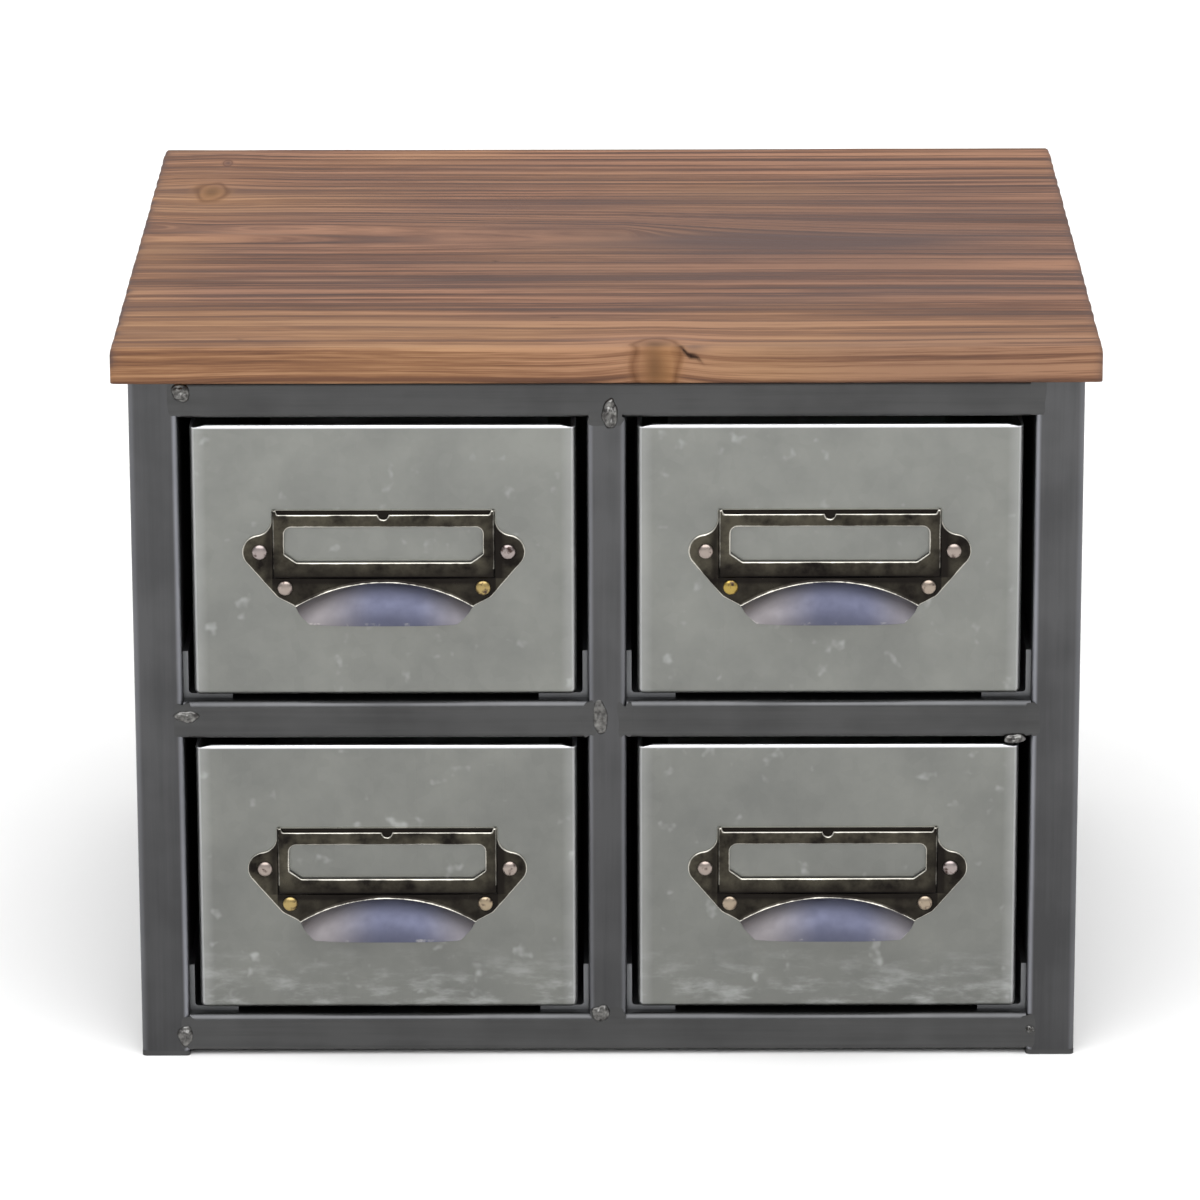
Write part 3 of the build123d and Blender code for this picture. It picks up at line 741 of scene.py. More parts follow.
def weld(centre, half, proud, sink, seed, beads=0.0, square=2.0, front=(0, -1, 0)):
    """Weld metal on a joint. Points run round a superellipse with the exponent `square`, a
    little uneven, and outwards by a share r from its middle to its rim; then the surface goes
    down by `sink` and back inwards as the root. The dome's height is `proud` times
    (1 - r^3)^0.6, times waves along the longer half and a ripple in the amount of `beads`."""
    around, outwards = 28, 13
    turns = np.linspace(0, 2 * pi, around, endpoint=False)[None, :]
    root = [1.0, 0.6, 0.05]
    out = np.concatenate([np.linspace(0.02, 1, outwards), root])[:, None]
    across, up = np.cos(turns), np.sin(turns)
    outline = (np.abs(across) ** square + np.abs(up) ** square) ** (-1 / square)
    outline = outline * (1 + 0.10 * ripple(across, up, seed=seed, lengths=(1.0, 1.0)))
    u, v = out * outline * across, out * outline * up
    long_way = v if half[1] > half[0] else u
    crown = (1 - np.clip(out, 0, 1) ** 3) ** 0.6
    waves = 1 + 0.28 * beads * np.sin(long_way * 9 + 2 * (u * u + v * v) + seed)
    rough = 1 + 0.25 * beads * ripple(u, v, seed=seed + 1, lengths=(0.5, 0.5))
    height = proud * crown * waves * rough
    height[-len(root):] = -sink
    front = np.array(front, float)
    side = np.cross((0, 0, 1), front)
    rings = (np.array(centre, float) + (u * half[0])[..., None] * side
             + (v * half[1])[..., None] * np.array([0, 0, 1.0]) + height[..., None] * front)
    return shell(rings)


class CABINET_OT_welds(bpy.types.Operator):
    """Raised beads where the tubes meet, and welds ground flush over the tubes' round corners"""
    bl_idname = "cabinet.welds"
    bl_label = "Weld beads"

    def execute(self, context):
        s = context.scene.cabinet_weld
        crown, proud, sink = s.crown / MM, s.proud / MM, s.sink / MM
        face = box_mm("front_top_rail")[0][1]
        inner = -box_mm("front_post_left")[1][0]
        outer = box_mm("front_post_right")[1][0]
        levels = {name: box_mm(node) for name, node in
                  (("top", "front_top_rail"), ("middle", "front_middle_rail_left"),
                   ("bottom", "front_bottom_rail"))}
        middles = {name: (low[2] + high[2]) / 2 for name, (low, high) in levels.items()}
        centre_half = box_mm("front_centre_post")[1][0]

        # Ground welds: nearly rectangular, as long as a tube's flat side, just past the joint
        past, post_half, centre_seam, flat_half = 0.6, 3.2, 3.0, 7.1
        grind = dict(proud=proud, sink=sink, square=5.0)
        ground = []
        for k, (name, (low, high)) in enumerate(levels.items()):
            half = (high[2] - low[2]) / 2 - 0.9
            for side in (-1, 1):
                ground.append(weld((side * (inner + past), face, middles[name]),
                                   (post_half, half), seed=40 + 2 * k + side, **grind))
        for side in (-1, 1):
            ground.append(weld((side * (centre_half - past), face, middles["middle"]),
                               (centre_seam, flat_half), seed=50 + side, **grind))
        for level, edge in (("top", 0), ("bottom", 1)):
            ground.append(weld((0, face, levels[level][edge][2]), (flat_half, centre_seam),
                               seed=52 + edge, **grind))
        side_rail = box_mm("side_top_rail_right")
        for side in (-1, 1):
            for y in (side_rail[0][1], side_rail[1][1]):
                for level in ("top", "bottom"):
                    ground.append(weld((side * outer, y, middles[level]),
                                       (post_half, flat_half), seed=60 + int(abs(y)) + side,
                                       front=(side, 0, 0), **grind))
        steel = (bpy.data.materials.get("satin_steel_tube_x")
                 or satin_steel_tube(context.scene.cabinet_frame, "x"))
        add_piece("ground_welds", ground, steel, "cabinet")

        top, middle, bottom = levels["top"], levels["middle"], levels["bottom"]
        raised = [  # x, z, half width, half height, share of the crown
            (-inner + 1.5, top[1][2] - 5.0, 3.6, 3.9, 1.0),
            (1.5, top[0][2] + 1.7, 3.4, 6.3, 1.0),
            (-inner + 1.4, middle[1][2] - 6.3, 5.0, 2.6, 0.7),
            (-2.7, middle[0][2] + 8.9, 3.2, 7.6, 0.5),
            (inner - 6.5, middle[0][2] - 0.4, 4.6, 2.1, 0.7),
            (-2.8, bottom[1][2] + 0.5, 3.8, 3.6, 0.9),
            (-inner - 1.7, bottom[0][2] + 7.0, 3.2, 4.4, 0.8),
            (inner + 1.6, bottom[0][2] + 9.1, 1.9, 1.7, 0.9)]
        beads = [weld((x, face, z), (a, b), crown * part, sink, 80 + k, beads=1.0)
                 for k, (x, z, a, b, part) in enumerate(raised)]
        add_piece("weld_beads", beads, weld_metal(s), "cabinet", sharp=60.0)
        return {"FINISHED"}


# Board --------------------------------------------------------------------------------------

NICKS = ((-147.6, -161.6), (-47.0, -30.0), (-21.0, -126.6))       # x and y on the top
PITH = (-262.0, 148.0)    # y and z of the tree's heart, in front of the board and below it
# Each knot's place on the top and its radius, the hill that it raises in the rings, the share
# by which it spreads them, and how far both reach along and across the board
KNOTS = (
    dict(x=19.5, y=-172.0, radius=9.5, hill=2.4, spread=0.0, reach=(19.0, 26.0)),
    dict(x=-174.0, y=98.0, radius=7.5, hill=0.0, spread=0.75, reach=(24.0, 17.0)),
    dict(x=-170.0, y=155.0, radius=2.4, hill=0.0, spread=0.6, reach=(16.0, 9.0)))
# Weathered and pale patches of the top: share, middle and half sizes
GREY_PATCHES = ((0.8, (72.0, 4.0), (85.0, 17.0)), (0.5, (60.0, 50.0), (190.0, 80.0)),
                (0.35, (60.0, -70.0), (190.0, 50.0)))
PALE_PATCHES = ((0.8, (-125.0, -63.0), (38.0, 2.0)), (0.6, (18.0, -163.0), (30.0, 8.0)),
                (0.65, (-150.0, 21.0), (32.0, 6.0)), (0.5, (-35.0, 9.0), (50.0, 4.0)))


def ring_field(x, y, z, top):
    """Distance of a point from the tree's heart, with slow wander along the board, a flame
    left of the middle and a hill or a spreading round each knot; and its distance from the
    nearest knot's axis, which points away from the heart, as a share of the knot's radius."""
    ring = np.hypot(y - PITH[0], z - PITH[1])
    ring = ring + 1.3 * ripple(x, ring, seed=5, lengths=(320.0, 70.0))
    ring = ring + 0.22 * ripple(x, ring, seed=6, lengths=(80.0, 26.0))
    # The flame: a bell across the board that grows to the left and fades right of its tip
    past_tip = x - 8
    flame = 27.0 * (1 + 0.5 * np.clip(-past_tip / 200, 0, 1))
    flame = flame * np.exp(-np.clip(past_tip, 0, None) / 70)
    ring = ring - flame * np.exp(-((y - 32 + 0.05 * past_tip) / 27) ** 2)
    nearest = np.full(x.shape, 9.0)                   # farther than any knot shows
    for k, knot in enumerate(KNOTS):
        away = np.array([knot["y"] - PITH[0], top - PITH[1]])
        away /= hypot(*away)
        across = (y - knot["y"]) * away[1] - (z - top) * away[0]
        hump = bell(x, across, (knot["x"], 0.0), knot["reach"])
        ring = ring - (knot["hill"] + knot["spread"] * across) * hump
        rough = 1 + 0.12 * ripple(x, across, seed=20 + k, lengths=(9.0, 9.0))
        nearest = np.minimum(nearest, np.hypot(x - knot["x"], across) / knot["radius"] * rough)
    return ring, nearest


def patches(x, y, table):
    """Sum of bells, each with its share."""
    return sum(part * bell(x, y, centre, half) for part, centre, half in table)


def board_shell(low, high, s):
    """The board's cross-section, bevelled below and rounded above, carried along its length.
    Its ends shrink on a quarter circle; its edges are a little uneven, and the top is lowered
    between the late-wood lines by the brushing."""
    edge, under, ring_width = s.edge / MM, s.under_edge / MM, s.ring / MM
    depth, height = high[1] - low[1], high[2] - low[2]
    quarter = np.linspace(0, pi / 2, 7)
    front = np.stack([edge - edge * np.cos(quarter), height - edge + edge * np.sin(quarter)], 1)
    top_y = np.linspace(edge, depth - edge, 232)[1:-1]
    top = np.stack([top_y, np.full(top_y.shape, height)], 1)
    back = np.stack([depth - front[::-1, 0], front[::-1, 1]], 1)
    side_z = np.linspace(under, height - edge, 12)[:-1]
    front_side = np.stack([np.zeros(side_z.shape), side_z], 1)
    back_side = np.stack([np.full(side_z.shape, depth), side_z[::-1]], 1)
    below_y = np.linspace(depth - under, under, 12)
    below = np.stack([below_y, np.zeros(below_y.shape)], 1)
    section = np.concatenate([front_side, front, top, back, back_side, below])

    # Sections stand closer over the left knots, and round the front knot and its crack
    stops = [low[0] + edge, low[0] + 12.0, low[0] + 50.0, -16.0, 58.0, high[0] - edge]
    inner_x = np.unique(np.concatenate([np.linspace(start, end, count) for start, end, count
                                        in zip(stops, stops[1:], (7, 32, 70, 100, 70))]))
    left = low[0] + edge - edge * np.cos(quarter[:-1])
    right = (high[0] - edge + edge * np.cos(quarter[:-1]))[::-1]
    along = np.concatenate([left, inner_x, right])
    end_shrink = edge - edge * np.sin(quarter[:-1])
    shrink = np.concatenate([end_shrink, np.zeros(inner_x.shape), end_shrink[::-1]])

    x = along[:, None] + np.zeros(len(section))[None, :]
    y = low[1] + section[None, :, 0] + np.zeros(x.shape)
    z = low[2] + section[None, :, 1] + np.zeros(x.shape)
    middle = (low[1] + high[1]) / 2
    y = middle + (y - middle) * (1 - 2 * shrink[:, None] / depth)
    upper = smooth_step(z, low[2] + height - 2 * edge, high[2])
    z = z - upper * shrink[:, None]

    ring, knot = ring_field(x, y, z, high[2])
    turn = (ring / ring_width) % 1.0
    late = np.interp(turn, [0, 0.5, 0.88, 0.97, 1], [0, 0.1, 1, 0, 0])
    open_top = smooth_step(z, high[2] - 0.6, high[2] - 0.05)
    z = z - s.relief / MM * open_top * (1 - late) * np.clip(knot - 0.5, 0, 1)
    # Dressed by hand: the edges wander inwards by a few tenths of a millimetre
    worn, band = 0.16, 2.5
    front_wear = worn * np.clip(1 + ripple(x, z * 0.5, seed=31, lengths=(55.0, 20.0)), 0, None)
    end_wear = worn * np.clip(1 + ripple(y, z * 0.5, seed=32, lengths=(14.0, 14.0)), 0, None)
    y = y + front_wear * smooth_step(y, low[1] + band, low[1])
    y = y - front_wear * smooth_step(y, high[1] - band, high[1])
    x = x + end_wear * smooth_step(x, low[0] + band, low[0]) * upper
    x = x - end_wear * smooth_step(x, high[0] - band, high[0]) * upper

    # Warm towards the front and the left end, grey and pale in patches
    warm = smooth_step(y, -60.0, -172.0) + 0.5 * smooth_step(x, -120.0, -195.0)
    warm = np.clip(warm + 0.35 * ripple(x, y, seed=33, lengths=(160.0, 60.0)), 0, 1)
    warm = warm * (1 - 0.45 * smooth_step(x, 60.0, 120.0))
    grey = patches(x, y, GREY_PATCHES) + 0.12 * ripple(x, y, seed=34, lengths=(120.0, 30.0))
    grey = np.clip(grey, 0, 1) * smooth_step(z, low[2] + 8, high[2])
    pale = np.clip(patches(x, y, PALE_PATCHES), 0, 1)
    # A crack beside the front knot, along a slanting, wavy line on the front face, and nicks
    on_front = y < low[1] + 3
    off = np.abs((x - 33.6) * 0.55 + (z - 302.0) * 0.83 - 0.5 * np.sin(x * 0.9))
    crack = np.exp(-(off / 0.75) ** 2) * bell(x, z, (33.8, 302.0), (5.0, 4.0)) * on_front
    crack = crack + 0.5 * sum(bell(x, y, at, (1.3, 0.8)) for at in NICKS)
    y = y + 0.6 * crack * on_front
    # Dirt in the end grain, a dark place over the crack and a dull stretch of the front edge
    dirt = 1.2
    end_dirt = np.exp(-np.clip(x - low[0] - dirt, 0, None) / dirt)
    end_dirt = end_dirt * (0.55 + 0.4 * ripple(y, z, seed=35, lengths=(13.0, 9.0)))
    end_dirt = end_dirt + 0.35 * np.exp(-np.clip(high[0] - dirt - x, 0, None) / dirt)
    grey = grey + end_dirt + 0.6 * bell(x, z, (35.0, 306.0), (6.0, 3.0)) * (y < low[1] + 5)
    grey = grey + 0.3 * bell(x, y, (130.0, low[1]), (80.0, 10.0))
    ring_marks = np.stack([x, ring, np.clip(1.7 * crack, 0, 1)], -1)
    tones = np.stack([warm * 0.85, np.clip(grey, 0, 0.95), pale], -1)
    return shell(np.stack([x, y, z], -1), grain=ring_marks, tone=tones, knot=knot)


class CABINET_OT_board(bpy.types.Operator):
    """One-piece brushed softwood board with knots, worn edges and open grain"""
    bl_idname = "cabinet.board"
    bl_label = "Wooden board"

    def execute(self, context):
        s = context.scene.cabinet_board
        board = board_shell(*box_mm("top_board"), s)
        add_piece("brushed_board", [board], brushed_fir(s), "cabinet", ["top_board"],
                  sharp=50.0)
        return {"FINISHED"}


# Drawers ------------------------------------------------------------------------------------

def tray_shells(low, high, s, seed):
    """The folded tray: rounded rectangles stacked from the outer floor up the outer walls,
    over the hems, down the inner walls and across the floor. On the straight sides the sheet
    turns over in a half circle and comes down inside as the hem's leaf; at the corners it
    ends at a plain edge. The front panel is uneven by a sum of long waves. Four tabs stand
    inside the front and back walls. The `rubbed` mark is the share of near-white zinc
    painted as a highlight along the hem and folded corners and as light inside."""
    sheet, fold, hem = s.sheet / MM, s.fold / MM, s.hem / MM
    width, depth, height = high - low
    middle = (low + high) / 2
    steps, straight = 8, 40                           # points along a corner and a side
    base = rounded_loop(width, depth, fold, steps, straight)
    corner, folded = np.zeros(len(base), bool), np.zeros(len(base), bool)
    for k in range(4):
        start = k * (steps + straight)
        corner[start:start + steps + 1] = True
        folded[start + 2:start + steps - 1] = True
    hemmed = np.where(corner, 0.0, 1.0)

    quarter = np.linspace(0, pi / 2, 6)
    half = np.linspace(0, pi, 11)
    wall_top = height - sheet
    floor_inset = 25.0                                # the floor is flat from here inwards
    # Each level's inset and height, on the hemmed sides and at the plain corners
    levels = [((floor_inset, 0.0),) * 2]
    levels += [((fold - fold * sin(t), fold - fold * cos(t)),) * 2 for t in quarter]
    walls = [*np.linspace(fold, wall_top - 1.2, 25)[1:], *(wall_top + np.linspace(-0.8, 0, 5))]
    levels += [((0.0, z),) * 2 for z in walls]
    plain_top = np.linspace(0, sheet, len(half))
    levels += [((sheet - sheet * cos(t), wall_top + sheet * sin(t)), (p, wall_top))
               for t, p in zip(half[1:], plain_top[1:])]
    outside = len(levels) - 2                         # levels from here on face inwards
    levels += [((2 * sheet, wall_top - d), (sheet, wall_top - d)) for d in (hem / 2, hem - 0.3)]
    levels += [((2 * sheet - 0.3, wall_top - hem), (sheet, wall_top - hem)),
               ((sheet, wall_top - hem), (sheet, wall_top - hem - 0.05))]
    levels += [((sheet, z),) * 2 for z in np.linspace(wall_top - hem, fold, 20)[1:]]
    inner = fold - sheet
    levels += [((sheet + inner - inner * cos(t), fold - inner * sin(t)),) * 2 for t in quarter[1:]]
    levels += [((floor_inset, sheet),) * 2]

    # Painted highlight along the wall's top and a little on the folded corners, and painted
    # light evenly inside
    least = np.where(folded, 0.3, np.where(corner, 0.1, 0.0))
    rings = np.zeros((len(levels), len(base), 3))
    bright = np.zeros(rings.shape[:2])
    for row, ((inset, z), (plain_inset, plain_z)) in enumerate(levels):
        near_top = smooth_step(plain_z, wall_top - 0.75, wall_top - 0.1)
        bright[row] = np.maximum(least, near_top if row < outside else 0.4)
        hem_loop, plain_loop = (
            rounded_loop(width - 2 * d, depth - 2 * d, max(fold - d, 0.35), steps, straight)
            for d in (inset, plain_inset))
        rings[row, :, :2] = hemmed[:, None] * hem_loop + (1 - hemmed[:, None]) * plain_loop
        rings[row, :, 2] = hemmed * z + (1 - hemmed) * plain_z
    rings += np.array([middle[0], middle[1], low[2]])

    x, z = rings[..., 0] - middle[0], rings[..., 2] - low[2]
    free = smooth_step(width / 2 - np.abs(x), fold, 30.0) * smooth_step(z, fold, 25.0)
    free = free * smooth_step(height - z, 2 * sheet, 14.0)
    uneven = s.buckle / MM * (0.5 + 0.5 * ripple(x, z, seed=seed, lengths=(80.0, 60.0)))
    front = rings[..., 1] < low[1] + 2 * sheet + 0.1
    rings[..., 1] += np.where(front, np.clip(uneven, 0, None) * free, 0)
    shells = [shell(rings, rubbed=bright)]

    # The tabs: rounded plates with their faces trimmed by a fiftieth, sunk into the walls
    tab_width, tab_height, sunk = s.tab / MM, wall_top - hem - 2 * fold, 0.1
    tab_loop = rounded_loop(tab_width, tab_height, 1.2)
    for side in (-1, 1):
        for y in (low[1] + sheet - sunk, high[1] - 2 * sheet + sunk):
            tab = np.zeros((4, len(tab_loop), 3))
            for row, (size, at) in enumerate(((0.98, 0.0), (1.0, 0.25), (1.0, 0.75), (0.98, 1.0))):
                trim = tab_loop * size
                tab[row, :, 0] = trim[:, 0] + side * (width / 2 - sheet + sunk - tab_width / 2)
                tab[row, :, 2] = trim[:, 1] + fold + tab_height / 2
                tab[row, :, 1] = at * sheet
            tab += np.array([middle[0], y, low[2]])
            shells.append(shell(tab, rubbed=np.zeros(tab.shape[:2])))
    return shells


class CABINET_OT_drawers(bpy.types.Operator):
    """Four trays folded from galvanised sheet, with flat hems and tabs"""
    bl_idname = "cabinet.drawers"
    bl_label = "Drawers"

    def execute(self, context):
        s = context.scene.cabinet_sheet
        zinc = galvanised_sheet(s)
        for k, (level, side) in enumerate((a, b) for a in LEVELS for b in SIDES):
            node = f"drawer_{level}_{side}"
            add_piece(f"tray_{level}_{side}", tray_shells(*box_mm(node), s, 70 + k), zinc,
                      f"{level}_{side}_drawer", [node])
        return {"FINISHED"}


# Pulls --------------------------------------------------------------------------------------

EAR_DISH = 0.12                                       # depth of an ear's dish at its rivet


def pull_sizes(s):
    """Sizes of the pull in millimetres and the places that follow from them. X is to the right
    and Z up from the middle between the ear rivets."""
    p = {key: getattr(s, key) / MM for key in
         ("plate", "pocket", "drop", "holder_width", "holder_height", "holder_rise",
          "frame_side", "frame_above", "frame_below", "ear_out", "ear_radius", "foot_ear_in",
          "foot_ear_drop", "foot_ear_radius", "arch", "cup_drop", "reach", "end_in", "lip_in",
          "step")}
    p["low"] = p["holder_rise"] - p["holder_height"]
    p["lip_z"] = p["low"] - p["cup_drop"] - p["reach"]
    p["arch_z"] = p["lip_z"] + p["reach"] - p["arch"]
    p["end_x"] = p["holder_width"] / 2 - p["end_in"]
    p["end_z"] = p["arch_z"] + sqrt(p["arch"] ** 2 - p["end_x"] ** 2)
    p["lip_x"] = p["end_x"] - p["lip_in"]
    p["ear"] = np.array([p["holder_width"] / 2 + p["ear_out"], 0.0])
    p["foot_ear"] = np.array([p["holder_width"] / 2 - p["foot_ear_in"],
                              p["low"] - p["foot_ear_drop"]])
    p["rivets"] = [(side * at[0], at[1]) for at in (p["ear"], p["foot_ear"]) for side in (-1, 1)]
    return p


def tangent_angle(start, start_radius, end, end_radius):
    """Direction, in degrees, from both centres to the line that touches two circles on the
    right of the way from the first to the second."""
    way = np.array(end) - np.array(start)
    turn = np.arccos((start_radius - end_radius) / hypot(*way))
    return float(np.degrees(atan2(way[1], way[0]) + turn))


def plate_outline(p):
    """Outline of the plate: over the raised frame, down its side, through the hollow curve,
    round the ear and the lower corner to the cup's end, and back along the arch."""
    half = p["holder_width"] / 2
    horn, dip = 1.7, p["step"]                        # the sides stand above the pocket's front
    blend = p["ear_radius"]                           # radius of the hollow curve
    rise = sqrt((p["ear_radius"] + blend) ** 2 - (p["ear_out"] - blend) ** 2)
    centre = np.array([half + blend, rise])
    to_blend = float(np.degrees(atan2(rise, blend - p["ear_out"])))
    ear_end = tangent_angle(p["ear"], p["ear_radius"], p["foot_ear"], p["foot_ear_radius"])
    cup_end = np.array([p["end_x"], p["end_z"]])
    foot_end = tangent_angle(p["foot_ear"], p["foot_ear_radius"], cup_end, 0.0)
    top = p["holder_rise"]
    notch = arc((0, top - dip), 2.2, 180, 360, 12)    # for the thumb, in the upper edge
    right = np.concatenate([
        notch[len(notch) // 2:],
        [[half - horn - 0.6, top - dip], [half - horn, top], [half - 0.3, top],
         [half, top - 0.4], [half, rise + 0.01]],
        arc(centre, blend, 180, 180 + to_blend, 14),
        arc(p["ear"], p["ear_radius"], to_blend, ear_end, 26),
        arc(p["foot_ear"], p["foot_ear_radius"], ear_end, foot_end, 8),
        [cup_end]])
    end_turn = float(np.degrees(atan2(p["end_z"] - p["arch_z"], p["end_x"])))
    crown = arc((0, p["arch_z"]), p["arch"] - 0.2, end_turn, 90, 40)[1:]
    right = np.concatenate([right, crown])
    left = right[::-1] * [-1, 1]
    return np.concatenate([right, left[1:-1]])


def card_window(p):
    """Outline of the window: cut lower corners and round upper ones."""
    half = p["holder_width"] / 2 - p["frame_side"]
    low, high = p["low"] + p["frame_below"], p["holder_rise"] - p["frame_above"]
    corner, cut_x, cut_z = 3.0, 5.0, 3.6
    right = np.concatenate([[[0, low], [half - cut_x, low], [half, low + cut_z]],
                            arc((half - corner, high - corner), corner, 0, 90, 8)])
    left = right[::-1] * [-1, 1]
    return np.concatenate([right, left[:-1]])


def nearest_on(loop, x, z):
    """Distance from points to a closed outline, the nearest points on it, and whether the
    points lie inside it, by counting crossings."""
    a, b = loop, np.roll(loop, -1, axis=0)
    px, pz = x.reshape(-1, 1), z.reshape(-1, 1)
    way = b - a
    square = np.maximum((way ** 2).sum(1), 1e-12)
    t = np.clip(((px - a[:, 0]) * way[:, 0] + (pz - a[:, 1]) * way[:, 1]) / square, 0, 1)
    qx, qz = a[:, 0] + t * way[:, 0], a[:, 1] + t * way[:, 1]
    distance = np.hypot(px - qx, pz - qz)
    best = distance.argmin(1)
    pick = np.arange(len(best))
    over = (a[:, 1] > pz) != (b[:, 1] > pz)
    with np.errstate(divide="ignore", invalid="ignore"):
        crossing_x = a[:, 0] + (pz - a[:, 1]) * way[:, 0] / way[:, 1]
    inside = (over & (px < crossing_x)).sum(1) % 2 == 1
    shape = x.shape
    return (distance[pick, best].reshape(shape), qx[pick, best].reshape(shape),
            qz[pick, best].reshape(shape), inside.reshape(shape))


def stamped_plate(p):
    """The plate with its raised frame: a height over a fine grid in X and Z. Grid points just
    outside the outline or inside the window are drawn onto their nearest point of it, and
    squares wholly off the plate are dropped. The face rises by the pocket's depth within a
    millimetre of the frame's edge, the rims are rounded over, and the sheet curls up to the
    cup along the arch. The back is the same surface set back by the plate's thickness."""
    half = p["holder_width"] / 2
    reach_x = half + p["ear_out"] + p["ear_radius"] + 0.5
    # The grid is finer at the raised frame's edges
    beside = half + np.linspace(-1.2, 0.4, 7)
    fine = np.concatenate([beside, -beside])
    xs = np.unique(np.concatenate([np.linspace(-reach_x, reach_x, 230), fine]).round(3))
    zs = np.unique(np.concatenate([np.linspace(p["end_z"] - 0.5, p["holder_rise"] + 0.4, 88),
                                   p["low"] + np.linspace(-0.3, 1.2, 7)]).round(3))
    x, z = np.meshgrid(xs, zs)
    outline, window = plate_outline(p), card_window(p)
    rim, rim_x, rim_z, on_plate = nearest_on(outline, x, z)
    card, card_x, card_z, in_window = nearest_on(window, x, z)
    keep = on_plate & ~in_window
    x = np.where(keep, x, np.where(in_window, card_x, rim_x))
    z = np.where(keep, z, np.where(in_window, card_z, rim_z))
    rim, card = np.where(keep, rim, 0.0), np.where(in_window, 0.0, card)
    near_rim = np.minimum(rim, card)

    inside = np.minimum(half - np.abs(x), z - p["low"])
    raised = smooth_step(inside, -0.15, 1.0)
    height = p["plate"] + p["pocket"] * raised
    # The curl along the arch, 0.9 mm high, where the rim isn't rounded over
    on_arch = np.hypot(x, z - p["arch_z"]) - p["arch"]
    height = height + 0.9 * np.exp(-np.clip(on_arch, 0, None) / 0.5) * (1 - raised)
    curled = (on_arch < 0.5) & (rim < 0.6)
    height = height - np.where(curled, 0, 0.28) * (1 - np.clip(near_rim / 0.55, 0, 1)) ** 2
    # A faint groove over the window, and a dish in each ear
    height = height - 0.25 * raised * bell(x, z, (0.0, p["holder_rise"] - 3.4), (44.0, 2.0))
    dish = sum(bell(x, z, (side * p["ear"][0], p["ear"][1]), (4.6, 4.6)) for side in (1, -1))
    height = height - EAR_DISH * dish

    index = np.arange(x.size).reshape(x.shape)
    corners = np.stack([index[:-1, :-1], index[:-1, 1:], index[1:, 1:], index[1:, :-1]], -1)
    quads = corners[keep.ravel()[corners].any(-1)]
    # Rubbed metal and painted glints along the rims and the raised frame's edge; painted
    # shade under it, beside it, across the frame below the ear rivets' level and at its right end
    fold_line = 0.62 * np.exp(-((inside - 0.7) / 0.45) ** 2) * (z > p["low"] + 4)
    wear = np.maximum(np.exp(-near_rim / 0.45), fold_line)
    in_frame = np.abs(x) < half
    hollow = 0.9 * np.exp(-((z - p["low"] + 0.4) / 1.6) ** 2) * in_frame
    hollow = hollow + 0.75 * np.exp(-((np.abs(x) - half - 1.2) / 1.8) ** 2) * (z > p["low"])
    hollow = hollow + 0.6 * smooth_step(z, -2.0, p["low"] + 1) * in_frame
    hollow = hollow + 0.45 * smooth_step(x, half - 7, half)
    return plate_shell(x, z, height, quads, p["plate"], wear.ravel(),
                       np.clip(hollow, 0, 0.95).ravel())


def pocket_back(p):
    """The strip of the card pocket's back that shows above its front: a rounded plate with
    bevelled edges, with a painted highlight along its top and painted shade below."""
    width, height = p["holder_width"] - 2.6, 4.0
    loop = rounded_loop(width, height, 0.3)
    rings = np.zeros((4, len(loop), 3))
    for row, (trim, out) in enumerate(((1.0, -0.02), (1.0, 0.45), (0.985, 0.55), (0.97, 0.55))):
        rings[row, :, 0] = loop[:, 0] - np.sign(loop[:, 0]) * (1 - trim) * 10
        rings[row, :, 2] = loop[:, 1] * trim + p["holder_rise"] - height / 2
        rings[row, :, 1] = -out
    upper = smooth_step(rings[..., 2], p["holder_rise"] - 0.4, p["holder_rise"] - 0.1)
    upper[-1] = 0
    # Painted shade below the painted highlight at the strip's top
    finish = np.zeros(rings.shape)
    finish[..., 2] = 0.95 * (1 - upper)
    return shell(rings, wear=upper, cup=finish)


def plate_shell(x, z, height, quads, thickness, wear, hollow):
    """Closes a trimmed height surface with its back, set back along Y, and with a wall along
    the edges that only one square uses. Faces are turned outwards as in `shell`."""
    numbers = np.unique(quads)
    places = np.zeros(x.size, int)
    places[numbers] = np.arange(len(numbers))
    quads = places[quads]
    x, z, height = (v.ravel()[numbers] for v in (x, z, height))
    front = np.stack([x, -height, z], 1)
    back = np.stack([x, -(height - thickness), z], 1)
    edges = np.concatenate([quads[:, [k, (k + 1) % 4]] for k in range(4)])
    order = np.sort(edges, 1)
    _, first, uses = np.unique(order, axis=0, return_index=True, return_counts=True)
    rim = edges[first[uses == 1]]
    count = len(numbers)
    wall = np.stack([rim[:, 1], rim[:, 0], rim[:, 0] + count, rim[:, 1] + count], 1)
    points = np.concatenate([front, back])
    faces = np.concatenate([quads, quads[:, ::-1] + count, wall])
    a, b, c, d = (points[faces[:, k]] for k in range(4))
    if np.sum(a * (np.cross(b, c) + np.cross(c, d))) < 0:
        faces = faces[:, ::-1]
    finish = np.zeros((2 * count, 3))
    finish[:, 2] = np.tile(hollow[numbers], 2)
    marks = {"wear": np.tile(wear[numbers], 2)[:, None], "cup": finish}
    return points, faces.tolist(), marks


